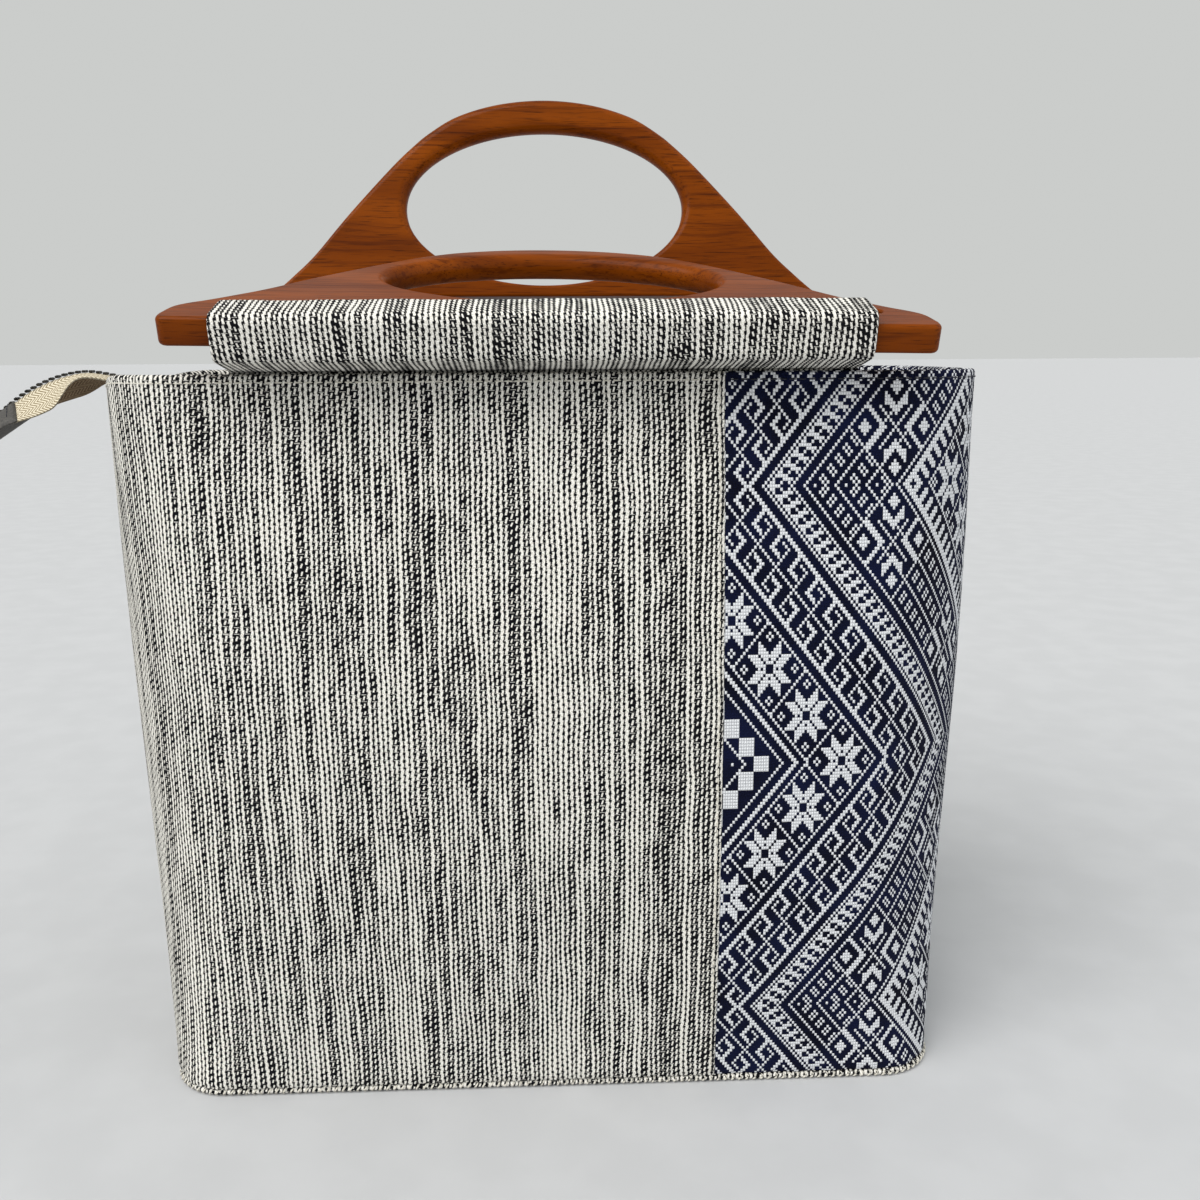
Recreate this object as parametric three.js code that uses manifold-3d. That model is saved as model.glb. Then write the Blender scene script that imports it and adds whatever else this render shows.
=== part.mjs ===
// A soft handbag with two wooden handles, in millimetres, +Z up, front towards -Y.
// The origin is on the ground under the middle of the bag.
// The body is two cloth panels that meet at an off-centre seam and stand on a stitched base panel.
// A cloth sleeve sewn inside the rim goes through each wooden handle and round its lower bar.
// The mouth is closed by two cloth panels with a zip between them, whose long end hangs out at the left.

import * as THREE from "three";
import Module from "manifold-3d";
import { mergeVertices } from "three/addons/utils/BufferGeometryUtils.js";

const wasm = await Module();
wasm.setup();

// Body
const BAG_HEIGHT = 250;
const MOUTH_WIDTH = 290;
const MOUTH_DEPTH = 120;
const CORNER_RADIUS = 34;
const FRONT_BELLY = 8;
const CLOTH_WALL = 2.4;
const FOLD_PROUD = 0.6;
const SEAM_X = 56;
const BOTTOM_ROLL = 5;
const BASE_THICKNESS = 2.4;
const BASE_LIP = 0.9;
const BASE_EDGE_ROUND = 1.2;
const GAP = 0.3;

// Wooden handles
const HANDLE_END = 16;
const HANDLE_THICKNESS = 9;
const BAR_HEIGHT = 13.5;
const BAR_CORNER = 3;
const SLOT_HEIGHT = 4.5;
const BRIDGE_HEIGHT = 4.5;
const HOLE_LENGTH = 111;
const HOLE_HEIGHT = 61.5;
const ARCH_WIDTH = 12.5;
const EDGE_ROUND = 1.2;
const FRONT_LEAN = 17;
const REAR_LEAN = 80;
const FRONT_ROLL = 0.9;
const FRONT_OVERHANG = 16.6;
const FRONT_REST = 10.9;
const FRONT_SHIFT = 2;
const REAR_INSET = 5.5;
const REAR_REST = 9.7;

// Sleeves
const SLEEVE_WIDTH = 198.5;
const SLEEVE_WALL = 1.5;
const SLEEVE_SIDE_GAP = 2.5;
const SLEEVE_TAIL = 2.4;
const FRONT_SLACK = 1.3;
const REAR_SLACK = 0;
const SLEEVE_ROLL = 0.1;

// Mouth closure
const CLOSURE_DROP = 13.5;
const CLOSURE_CLOTH = 1.6;
const TAPE_WIDTH = 13;
const TAPE_THICKNESS = 1;
const CHAIN_WIDTH = 4.6;
const CHAIN_HEIGHT = 1.8;
const TOOTH_PITCH = 2.4;
const ZIP_END_INSET = 22;
const CLIMB_LENGTH = 34;
const TAIL_LENGTH = 50;
const TAIL_DROP = 11.5;
const RIM_DIP = 5;
const RIM_CLEARANCE = 1.9;
const TAB_LENGTH = 24;
const TAB_WIDTH = 26;
const TAB_THICKNESS = 2.6;
const SLIDER_LENGTH = 11;
const SLIDER_WIDTH = 8.5;
const SLIDER_HEIGHT = 3.4;
const PULL_LENGTH = 26;
const PULL_WIDTH = 5.5;
const PULL_THICKNESS = 1.2;

// Level sections of the body: height is a share of BAG_HEIGHT, width of MOUTH_WIDTH, depth of
// MOUTH_DEPTH, corner of CORNER_RADIUS and belly of FRONT_BELLY.
const BODY_SECTIONS = [
  { height: 0.0, width: 0.944, depth: 0.995, corner: 0.55, belly: 0.0 },
  { height: 0.06, width: 0.964, depth: 1.0, corner: 0.85, belly: 0.15 },
  { height: 0.2, width: 0.993, depth: 1.015, corner: 1.25, belly: 0.6 },
  { height: 0.4, width: 1.018, depth: 1.035, corner: 1.5, belly: 1.0 },
  { height: 0.6, width: 1.035, depth: 1.05, corner: 1.6, belly: 1.0 },
  { height: 0.8, width: 1.03, depth: 1.03, corner: 1.4, belly: 0.65 },
  { height: 0.93, width: 1.014, depth: 1.008, corner: 1.12, belly: 0.25 },
  { height: 1.0, width: 1.008, depth: 1.0, corner: 1.0, belly: 0.1 },
];

// Right half of a handle's outline: across is a share of half the length, up of the height.
const HANDLE_OUTLINE = [
  { across: 1.0, up: 0.05 },
  { across: 0.984, up: 0.13 },
  { across: 0.953, up: 0.176 },
  { across: 0.908, up: 0.217 },
  { across: 0.848, up: 0.281 },
  { across: 0.776, up: 0.366 },
  { across: 0.658, up: 0.536 },
  { across: 0.524, up: 0.715 },
  { across: 0.45, up: 0.803 },
  { across: 0.388, up: 0.865 },
  { across: 0.293, up: 0.933 },
  { across: 0.157, up: 0.982 },
  { across: 0.0, up: 1.0 },
];

// Zip tail beyond the rim: out is a share of TAIL_LENGTH, down of TAIL_DROP. The fold of the
// front and rear tape is in degrees below the level on each side of the teeth.
const ZIP_TAIL = [
  { out: 0.0, down: 0.0, front: 2, rear: 2 },
  { out: 0.15, down: -0.03, front: 2, rear: 3 },
  { out: 0.25, down: -0.12, front: 2, rear: 6 },
  { out: 0.37, down: -0.19, front: 5, rear: 19 },
  { out: 0.48, down: -0.15, front: 22, rear: 33 },
  { out: 0.64, down: 0.04, front: 46, rear: 40 },
  { out: 0.82, down: 0.43, front: 40, rear: 36 },
  { out: 1.0, down: 1.0, front: 22, rear: 22 },
];

const HOLE_STEPS = 40;
const BODY_COLUMNS = 8;
const WALL_ROWS = [0.02, 0.06, 0.13, 0.22, 0.32, 0.43, 0.54, 0.65, 0.76, 0.86, 0.94, 1.0];
const ROLL_ROWS = 3;

const handleHeight = BAR_HEIGHT + SLOT_HEIGHT + BRIDGE_HEIGHT + HOLE_HEIGHT + ARCH_WIDTH;
const slotLength = SLEEVE_WIDTH + 2 * SLEEVE_SIDE_GAP;
const handleLength = slotLength + 2 * HANDLE_END;
const closureTop = BAG_HEIGHT - CLOSURE_DROP;
const rollDrop = Math.sin(THREE.MathUtils.degToRad(SLEEVE_ROLL)) * SLEEVE_WIDTH / 2;
const tailEnd = closureTop + GAP + rollDrop;

const colours = {
  weave: 0x8f8d88,
  pattern: 0x26304f,
  sleeve: 0x868480,
  wood: 0x8c4a1c,
  tape: 0xcdc3aa,
  teeth: 0x3a3835,
  tab: 0x464442,
};

function cloth(colour) {
  return new THREE.MeshStandardMaterial({ color: colour, roughness: 0.9, metalness: 0 });
}

function namedMesh(name, geometry, material) {
  const mesh = new THREE.Mesh(geometry, material);
  mesh.name = name;
  return mesh;
}

function radians(degrees) {
  return THREE.MathUtils.degToRad(degrees);
}

// Smooth value of one column of a table at a place along its key column.
function smoothColumn(table, key, column, at) {
  let row = 0;
  while (row < table.length - 2 && table[row + 1][key] < at) row += 1;
  const before = table[Math.max(row - 1, 0)];
  const start = table[row];
  const end = table[row + 1];
  const after = table[Math.min(row + 2, table.length - 1)];
  const span = end[key] - start[key];
  const t = (at - start[key]) / span;
  const startSlope = (end[column] - before[column]) / (end[key] - before[key]) * span;
  const endSlope = (after[column] - start[column]) / (after[key] - start[key]) * span;
  const rest = 1 - t;
  return start[column] * (1 + 2 * t) * rest * rest + startSlope * t * rest * rest
    + end[column] * t * t * (3 - 2 * t) - endSlope * t * t * rest;
}

// Half sizes of the body's level section at a height, drawn in by an inset.
function bodySection(height, inset) {
  const share = height / BAG_HEIGHT;
  const column = (name) => smoothColumn(BODY_SECTIONS, "height", name, share);
  const below = Math.max(BOTTOM_ROLL - height, 0);
  const roll = BOTTOM_ROLL - Math.sqrt(BOTTOM_ROLL ** 2 - below ** 2);
  const halfWidth = column("width") * MOUTH_WIDTH / 2 - roll - inset;
  const halfDepth = column("depth") * MOUTH_DEPTH / 2 - roll - inset;
  const corner = column("corner") * CORNER_RADIUS - roll - inset;
  return {
    halfWidth,
    halfDepth,
    corner: Math.min(corner, halfDepth - 2 * GAP),
    belly: column("belly") * FRONT_BELLY,
  };
}

// Point of a level section: side is -1 for left or 1 for right, and stretch names the part of the
// way round from the front to the back, with along running from 0 to 1 in it. The front and back
// stretches start at the upright line x = fromX.
function sectionPoint(section, side, fromX, stretch, along) {
  const { halfWidth, halfDepth, corner, belly } = section;
  const straightX = side * (halfWidth - corner);
  const straightY = halfDepth - corner;
  let x = fromX + (straightX - fromX) * along;
  let y = -halfDepth;
  if (stretch === "frontCorner" || stretch === "rearCorner") {
    const angle = along * Math.PI / 2;
    const frontal = stretch === "frontCorner" ? angle : Math.PI / 2 - angle;
    x = straightX + side * corner * Math.sin(frontal);
    y = -straightY - corner * Math.cos(frontal);
  }
  if (stretch === "side") {
    x = side * halfWidth;
    y = straightY * (2 * along - 1);
  }
  if (stretch === "rear") x = straightX + (fromX - straightX) * along;
  if (stretch === "rear" || stretch === "rearCorner") y = -y;
  const swell = 1 + belly / halfDepth * (1 - (x / halfWidth) ** 2);
  return new THREE.Vector2(x, y * swell);
}

// Stations from the front seam round one side to the rear seam.
function wrapStations() {
  const stations = [{ stretch: "front", along: 0 }];
  const stretches = [
    { name: "front", steps: BODY_COLUMNS },
    { name: "frontCorner", steps: BODY_COLUMNS },
    { name: "side", steps: 4 },
    { name: "rearCorner", steps: BODY_COLUMNS },
    { name: "rear", steps: BODY_COLUMNS },
  ];
  for (const { name, steps } of stretches) {
    for (let step = 1; step <= steps; step += 1) stations.push({ stretch: name, along: step / steps });
  }
  return stations;
}

// Closed slab between an outer and an inner grid of points, each grid[row][column].
function slabBetween(outer, inner) {
  const rows = outer.length;
  const columns = outer[0].length;
  const positions = [];
  for (const grid of [outer, inner]) {
    for (const line of grid) for (const point of line) positions.push(point.x, point.y, point.z);
  }
  const outerAt = (row, column) => row * columns + column;
  const innerAt = (row, column) => rows * columns + outerAt(row, column);
  const indices = [];
  const quad = (a, b, c, d) => indices.push(a, b, c, a, c, d);
  for (let row = 0; row < rows - 1; row += 1) {
    for (let column = 0; column < columns - 1; column += 1) {
      quad(outerAt(row, column), outerAt(row, column + 1),
        outerAt(row + 1, column + 1), outerAt(row + 1, column));
      quad(innerAt(row, column), innerAt(row + 1, column),
        innerAt(row + 1, column + 1), innerAt(row, column + 1));
    }
    quad(outerAt(row, 0), outerAt(row + 1, 0), innerAt(row + 1, 0), innerAt(row, 0));
    const last = columns - 1;
    quad(outerAt(row, last), innerAt(row, last), innerAt(row + 1, last), outerAt(row + 1, last));
  }
  for (let column = 0; column < columns - 1; column += 1) {
    quad(outerAt(0, column), innerAt(0, column), innerAt(0, column + 1), outerAt(0, column + 1));
    const top = rows - 1;
    quad(outerAt(top, column), outerAt(top, column + 1),
      innerAt(top, column + 1), innerAt(top, column));
  }
  return facingOut(positions, indices);
}

// Indexed geometry whose faces are turned so that it encloses a positive volume.
function facingOut(positions, indices) {
  const corner = (index) => new THREE.Vector3().fromArray(positions, 3 * index);
  let volume = 0;
  for (let i = 0; i < indices.length; i += 3) {
    volume += corner(indices[i]).dot(corner(indices[i + 1]).cross(corner(indices[i + 2])));
  }
  if (volume < 0) indices.reverse();
  const geometry = new THREE.BufferGeometry();
  geometry.setAttribute("position", new THREE.Float32BufferAttribute(positions, 3));
  geometry.setIndex(indices);
  geometry.computeVertexNormals();
  return geometry;
}

// Closed solid through rings of equal length, capped flat at both ends.
function loftThrough(rings) {
  const count = rings[0].length;
  const positions = rings.flat().flatMap((point) => [point.x, point.y, point.z]);
  const indices = [];
  for (let ring = 0; ring < rings.length - 1; ring += 1) {
    for (let k = 0; k < count; k += 1) {
      const a = ring * count + k;
      const b = ring * count + (k + 1) % count;
      indices.push(a, b, b + count, a, b + count, a + count);
    }
  }
  const last = (rings.length - 1) * count;
  for (let k = 1; k < count - 1; k += 1) {
    indices.push(0, k + 1, k, last, last + k, last + k + 1);
  }
  return facingOut(positions, indices);
}

function toManifold(geometry) {
  const bare = geometry.clone();
  for (const name of ["normal", "uv"]) bare.deleteAttribute(name);
  const merged = mergeVertices(bare);
  return new wasm.Manifold(new wasm.Mesh({
    numProp: 3,
    vertProperties: new Float32Array(merged.attributes.position.array),
    triVerts: new Uint32Array(merged.index.array),
  }));
}

function fromManifold(solid) {
  const mesh = solid.getMesh();
  return facingOut(Array.from(mesh.vertProperties), Array.from(mesh.triVerts));
}

// How far the rim is pressed down where the zip goes over the left side.
function rimDip(point, height) {
  if (point.x > 0) return 0;
  const spread = Math.max(1 - (point.y / (4 * TAPE_WIDTH)) ** 2, 0);
  const top = Math.max(1 - (BAG_HEIGHT - height) / (8 * RIM_DIP), 0);
  return RIM_DIP * spread ** 2 * top;
}

// Cloth wall from the seam line round one side of the bag.
function wrapPanel(name, side, proud, material) {
  const seamX = SEAM_X + side * GAP / 2;
  const lowest = BASE_THICKNESS + GAP;
  const heights = [];
  for (let row = 0; row < ROLL_ROWS; row += 1) {
    heights.push(lowest + (BOTTOM_ROLL - lowest) * row / ROLL_ROWS);
  }
  for (const share of WALL_ROWS) {
    heights.push(BOTTOM_ROLL + (BAG_HEIGHT - BOTTOM_ROLL) * share);
  }
  const stations = wrapStations();
  const grid = (inset) => heights.map((height) => {
    const section = bodySection(height, inset);
    return stations.map(({ stretch, along }) => {
      const point = sectionPoint(section, side, seamX, stretch, along);
      return new THREE.Vector3(point.x, point.y, height - rimDip(point, height));
    });
  });
  return namedMesh(name, slabBetween(grid(-proud), grid(CLOTH_WALL)), material);
}

// Whole outline of a level section as a ring of points at one height.
function sectionRing(height, inset, z) {
  const section = bodySection(height, inset);
  const right = wrapStations().map(({ stretch, along }) => sectionPoint(section, 1, 0, stretch, along));
  const left = wrapStations().map(({ stretch, along }) => sectionPoint(section, -1, 0, stretch, along));
  const around = [...right, ...left.slice(1, -1).reverse()];
  return around.map((point) => new THREE.Vector3(point.x, point.y, z));
}

function basePanel() {
  const seam = BASE_THICKNESS;
  const rings = [
    sectionRing(seam, BASE_EDGE_ROUND - BASE_LIP + BASE_THICKNESS / 2, 0),
    sectionRing(seam, -BASE_LIP, BASE_EDGE_ROUND),
    sectionRing(seam, BASE_EDGE_ROUND / 2 - BASE_LIP, seam),
  ];
  return namedMesh("base_panel", loftThrough(rings), cloth(colours.weave));
}

// Half of the mouth's closing cloth, from inside the wall to the edge of the zip tape.
function closurePanel(name, rearward) {
  const inset = CLOTH_WALL + GAP;
  const section = bodySection(closureTop - CLOSURE_CLOTH, inset);
  const edge = TAPE_WIDTH + GAP;
  const outline = [];
  for (const side of [1, -1]) {
    const flank = wrapStations()
      .filter(({ stretch }) => stretch === "front" || stretch === "frontCorner")
      .map(({ stretch, along }) => sectionPoint(section, side, 0, stretch, along));
    flank.push(new THREE.Vector2(side * section.halfWidth, -edge));
    outline.push(...(side > 0 ? flank : flank.slice(1).reverse()));
  }
  const placed = rearward ? outline.map((point) => new THREE.Vector2(point.x, -point.y)) : outline;
  const shape = new THREE.Shape(placed);
  const geometry = new THREE.ExtrudeGeometry(shape, { depth: CLOSURE_CLOTH, bevelEnabled: false });
  const panel = namedMesh(name, geometry, cloth(colours.weave));
  panel.position.z = closureTop - CLOSURE_CLOTH;
  return panel;
}

// Board outline with its slot and finger hole, in the board's own plane.
function handleShape() {
  const half = handleLength / 2;
  const knots = HANDLE_OUTLINE.map(({ across, up }) => new THREE.Vector2(across * half, up * handleHeight));
  const mirrored = knots.slice(0, -1).reverse().map((knot) => new THREE.Vector2(-knot.x, knot.y));
  const shape = new THREE.Shape();
  shape.moveTo(-half + BAR_CORNER, 0);
  shape.lineTo(half - BAR_CORNER, 0);
  shape.absarc(half - BAR_CORNER, BAR_CORNER, BAR_CORNER, -Math.PI / 2, 0, false);
  shape.lineTo(knots[0].x, knots[0].y);
  shape.splineThru([...knots.slice(1), ...mirrored]);
  shape.lineTo(-half, BAR_CORNER);
  shape.absarc(-half + BAR_CORNER, BAR_CORNER, BAR_CORNER, Math.PI, 1.5 * Math.PI, false);
  const slot = new THREE.Path();
  const slotMiddle = BAR_HEIGHT + SLOT_HEIGHT / 2;
  slot.moveTo(-slotLength / 2, BAR_HEIGHT);
  slot.lineTo(slotLength / 2, BAR_HEIGHT);
  slot.absarc(slotLength / 2, slotMiddle, SLOT_HEIGHT / 2, -Math.PI / 2, Math.PI / 2, false);
  slot.absarc(-slotLength / 2, slotMiddle, SLOT_HEIGHT / 2, Math.PI / 2, 1.5 * Math.PI, false);
  const holeMiddle = BAR_HEIGHT + SLOT_HEIGHT + BRIDGE_HEIGHT + HOLE_HEIGHT / 2;
  const oval = [];
  for (let step = 0; step < HOLE_STEPS; step += 1) {
    const angle = 2 * Math.PI * step / HOLE_STEPS;
    oval.push(new THREE.Vector2(HOLE_LENGTH / 2 * Math.cos(angle),
      holeMiddle + HOLE_HEIGHT / 2 * Math.sin(angle)));
  }
  shape.holes.push(slot, new THREE.Path(oval));
  return shape;
}

// A place in the bag's YZ plane, from the board's own height and thickness coordinates.
function boardPoint(pose, up, through) {
  const lean = radians(pose.lean);
  return new THREE.Vector2(
    pose.y + up * Math.cos(lean) - through * Math.sin(lean),
    pose.z + up * Math.sin(lean) + through * Math.cos(lean),
  );
}

function handleBoard(name, pose) {
  const geometry = new THREE.ExtrudeGeometry(handleShape(), {
    depth: HANDLE_THICKNESS - 2 * EDGE_ROUND,
    bevelThickness: EDGE_ROUND,
    bevelSize: EDGE_ROUND,
    bevelOffset: -EDGE_ROUND,
    bevelSegments: 2,
    curveSegments: 3,
  });
  geometry.translate(0, 0, EDGE_ROUND - HANDLE_THICKNESS / 2);
  const material = new THREE.MeshStandardMaterial({ color: colours.wood, roughness: 0.45, metalness: 0 });
  const board = namedMesh(name, geometry, material);
  board.rotation.x = radians(pose.lean);
  board.position.set(pose.shift, pose.y, pose.z);
  return board;
}

// Rounded rectangle round the bar, grown by a margin, in the bag's YZ plane.
function barLoop(pose, margin, corner) {
  const low = -margin + corner;
  const high = BAR_HEIGHT + margin - corner;
  const face = HANDLE_THICKNESS / 2 + margin - corner;
  const centres = [[high, face], [low, face], [low, -face], [high, -face]];
  const points = [];
  centres.forEach(([up, through], index) => {
    for (let step = 0; step <= 2; step += 1) {
      const angle = Math.PI / 2 * (index + step / 2);
      points.push(boardPoint(pose, up + corner * Math.cos(angle), through + corner * Math.sin(angle)));
    }
  });
  return points;
}

// Profile in the YZ plane as an extrusion along X, centred on the bag.
function alongBar(outline, hole) {
  const shape = new THREE.Shape(outline);
  if (hole) shape.holes.push(new THREE.Path(hole));
  const geometry = new THREE.ExtrudeGeometry(shape, { depth: SLEEVE_WIDTH, bevelEnabled: false });
  const axes = new THREE.Matrix4().makeBasis(
    new THREE.Vector3(0, 1, 0), new THREE.Vector3(0, 0, 1), new THREE.Vector3(1, 0, 0));
  geometry.applyMatrix4(axes);
  geometry.translate(-SLEEVE_WIDTH / 2, 0, 0);
  return geometry;
}

// Convex outline round a set of points, anticlockwise.
function hullOf(points) {
  const sorted = [...points].sort((a, b) => a.x - b.x || a.y - b.y);
  const turn = (a, b, c) => b.clone().sub(a).cross(c.clone().sub(a));
  const chain = (list) => {
    const kept = [];
    for (const point of list) {
      while (kept.length > 1 && turn(kept.at(-2), kept.at(-1), point) <= 0) kept.pop();
      kept.push(point);
    }
    return kept.slice(0, -1);
  };
  return [...chain(sorted), ...chain(sorted.reverse())];
}

// Cloth loop from inside the rim round the bar and back through the slot. Its two layers meet at
// the rim and go down inside the wall as one doubled tail.
function sleeve(name, pose, tailY) {
  const half = SLEEVE_TAIL / 2;
  const cavity = GAP + pose.slack;
  const foot = BAG_HEIGHT + GAP + rollDrop;
  const neck = [new THREE.Vector2(tailY - half, foot), new THREE.Vector2(tailY + half, foot)];
  const crotch = new THREE.Vector2(tailY, foot + SLEEVE_WALL);
  const outer = hullOf([...barLoop(pose, cavity + SLEEVE_WALL, cavity + SLEEVE_WALL), ...neck]);
  const inner = hullOf([...barLoop(pose, cavity, cavity), crotch]);
  const loop = toManifold(alongBar(outer, inner));
  const tail = toManifold(alongBar([
    new THREE.Vector2(tailY - half, tailEnd),
    new THREE.Vector2(tailY + half, tailEnd),
    new THREE.Vector2(tailY + half, foot + half / 2),
    new THREE.Vector2(tailY - half, foot + half / 2),
  ]));
  return namedMesh(name, fromManifold(loop.add(tail)), cloth(colours.sleeve));
}

// Turns a mesh that is placed in the bag's frame about the middle of the rim.
function rolled(mesh, degrees) {
  const group = new THREE.Group();
  group.add(mesh);
  group.position.z = BAG_HEIGHT;
  group.rotation.y = radians(degrees);
  mesh.position.z -= BAG_HEIGHT;
  return group;
}

// Centre line of the zip's teeth from its right end to the free end at the left.
function zipLine() {
  const wall = MOUTH_WIDTH / 2;
  const level = closureTop - TAPE_THICKNESS / 2;
  const overRim = BAG_HEIGHT - RIM_DIP + TAPE_THICKNESS / 2 + RIM_CLEARANCE;
  const points = [
    new THREE.Vector3(wall - ZIP_END_INSET, 0, level),
    new THREE.Vector3(0, 0, level),
    new THREE.Vector3(-wall + CLIMB_LENGTH * 1.3, 0, level),
    new THREE.Vector3(-wall + CLIMB_LENGTH, 0, level + CHAIN_HEIGHT / 4),
    new THREE.Vector3(-wall + CLIMB_LENGTH / 3, 0, overRim - CLOSURE_DROP / 4),
  ];
  for (const { out, down } of ZIP_TAIL) {
    points.push(new THREE.Vector3(-wall - out * TAIL_LENGTH, 0, overRim - down * TAIL_DROP));
  }
  return new THREE.CatmullRomCurve3(points);
}

// Places along the zip with the folds of both tapes and the direction out of the tape's upper face.
function zipPlaces(line, steps) {
  const wall = MOUTH_WIDTH / 2;
  const places = [];
  for (let step = 0; step <= steps; step += 1) {
    const share = step / steps;
    const centre = line.getPointAt(share);
    const tangent = line.getTangentAt(share);
    const upward = new THREE.Vector3(0, 1, 0).cross(tangent);
    if (upward.z < 0) upward.negate();
    const out = (-centre.x - wall) / TAIL_LENGTH;
    const climb = THREE.MathUtils.clamp(1 + out * TAIL_LENGTH / CLIMB_LENGTH, 0, 1);
    const fold = (column) => smoothColumn(ZIP_TAIL, "out", column, Math.min(Math.max(out, 0), 1));
    places.push({ centre, upward, tangent, front: fold("front") * climb, rear: fold("rear") * climb });
  }
  return places;
}

function sweep(places, section) {
  return loftThrough(places.map((place) => section(place).map(([across, up]) => place.centre.clone()
    .addScaledVector(new THREE.Vector3(0, 1, 0), across)
    .addScaledVector(place.upward, up))));
}

// Cross-section of one tape, folded down from the teeth.
function tapeSection(side, fold) {
  const angle = radians(fold);
  const start = GAP / 2;
  const reach = [Math.cos(angle), -Math.sin(angle)];
  const thick = [Math.sin(angle) * TAPE_THICKNESS / 2, Math.cos(angle) * TAPE_THICKNESS / 2];
  const end = [start + reach[0] * (TAPE_WIDTH - start), reach[1] * (TAPE_WIDTH - start)];
  const corners = [
    [start, TAPE_THICKNESS / 2],
    [end[0] + thick[0], end[1] + thick[1]],
    [end[0] - thick[0], end[1] - thick[1]],
    [start, -TAPE_THICKNESS / 2],
  ];
  return corners.map(([across, up]) => [side * across, up]);
}

function zipChain(line) {
  const teeth = Math.round(line.getLength() / TOOTH_PITCH);
  const narrow = CHAIN_WIDTH * 0.62;
  const places = zipPlaces(line, teeth);
  const base = TAPE_THICKNESS / 2 + GAP;
  return sweep(places.map((place, index) => ({ ...place, width: index % 2 ? narrow : CHAIN_WIDTH })),
    ({ width }) => [
      [-width / 2, base], [width / 2, base],
      [width / 2, base + CHAIN_HEIGHT], [-width / 2, base + CHAIN_HEIGHT],
    ]);
}

// Tab that caps the zip's free end, bent to the same tent as the tapes. Each ring starts at the
// ridge, from which the flat caps fan out.
function zipTab(line, places) {
  const end = places[places.length - 1];
  const rings = [0, 0.5, 1].map((share) => {
    const centre = end.centre.clone().addScaledVector(end.tangent, GAP + share * TAB_LENGTH);
    const half = TAB_WIDTH / 2;
    const fold = radians(end.front) * (1 - share / 2);
    const drop = half * Math.sin(fold);
    const wide = half * Math.cos(fold);
    const thick = TAB_THICKNESS / 2;
    return [[0, thick], [wide, thick - drop], [wide, -thick - drop],
      [0, -thick], [-wide, -thick - drop], [-wide, thick - drop]]
      .map(([across, up]) => centre.clone()
        .addScaledVector(new THREE.Vector3(0, 1, 0), across)
        .addScaledVector(end.upward, up));
  });
  return loftThrough(rings);
}

function zipSlider(line) {
  const start = line.getPointAt(0);
  const bottom = start.z + TAPE_THICKNESS / 2 + GAP + CHAIN_HEIGHT + GAP;
  const body = new THREE.BoxGeometry(SLIDER_LENGTH, SLIDER_WIDTH, SLIDER_HEIGHT);
  body.translate(start.x - SLIDER_LENGTH / 2, 0, bottom + SLIDER_HEIGHT / 2);
  const pull = new THREE.BoxGeometry(PULL_LENGTH, PULL_WIDTH, PULL_THICKNESS);
  pull.translate(start.x - SLIDER_LENGTH / 2 - PULL_LENGTH / 2, 0,
    bottom + SLIDER_HEIGHT - PULL_THICKNESS / 2 - GAP);
  return fromManifold(toManifold(body).add(toManifold(pull)));
}

function closureGroup() {
  const group = new THREE.Group();
  const line = zipLine();
  const places = zipPlaces(line, 44);
  const metal = new THREE.MeshStandardMaterial({ color: colours.teeth, roughness: 0.35, metalness: 1 });
  group.add(closurePanel("top_panel_front", false));
  group.add(closurePanel("top_panel_rear", true));
  const tapeCloth = cloth(colours.tape);
  group.add(namedMesh("zip_tape_front", sweep(places, ({ front }) => tapeSection(-1, front)), tapeCloth));
  group.add(namedMesh("zip_tape_rear", sweep(places, ({ rear }) => tapeSection(1, rear)), cloth(colours.tape)));
  group.add(namedMesh("zip_chain", zipChain(line), metal));
  group.add(namedMesh("zip_slider", zipSlider(line), metal.clone()));
  group.add(namedMesh("zip_tab", zipTab(line, places), cloth(colours.tab)));
  return group;
}

const bag = new THREE.Group();
bag.add(wrapPanel("weave_panel", -1, FOLD_PROUD, cloth(colours.weave)));
bag.add(wrapPanel("pattern_panel", 1, 0, cloth(colours.pattern)));
bag.add(basePanel());

const rimFront = -MOUTH_DEPTH / 2;
const tailInset = CLOTH_WALL + GAP + SLEEVE_TAIL / 2;
const frontPose = {
  shift: FRONT_SHIFT,
  y: rimFront - FRONT_OVERHANG,
  z: BAG_HEIGHT + FRONT_REST,
  lean: FRONT_LEAN,
  slack: FRONT_SLACK,
};
const rearPose = {
  shift: 0,
  y: -rimFront - REAR_INSET,
  z: BAG_HEIGHT + REAR_REST,
  lean: REAR_LEAN,
  slack: REAR_SLACK,
};
bag.add(rolled(handleBoard("front_handle", frontPose), FRONT_ROLL));
bag.add(rolled(sleeve("front_sleeve", frontPose, rimFront + tailInset), SLEEVE_ROLL));
bag.add(handleBoard("rear_handle", rearPose));
bag.add(sleeve("rear_sleeve", rearPose, -rimFront - tailInset));
bag.add(closureGroup());

export default bag;
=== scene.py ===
import math

import bpy
import numpy as np
from mathutils import Matrix, Vector
from mathutils.geometry import tessellate_polygon


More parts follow.
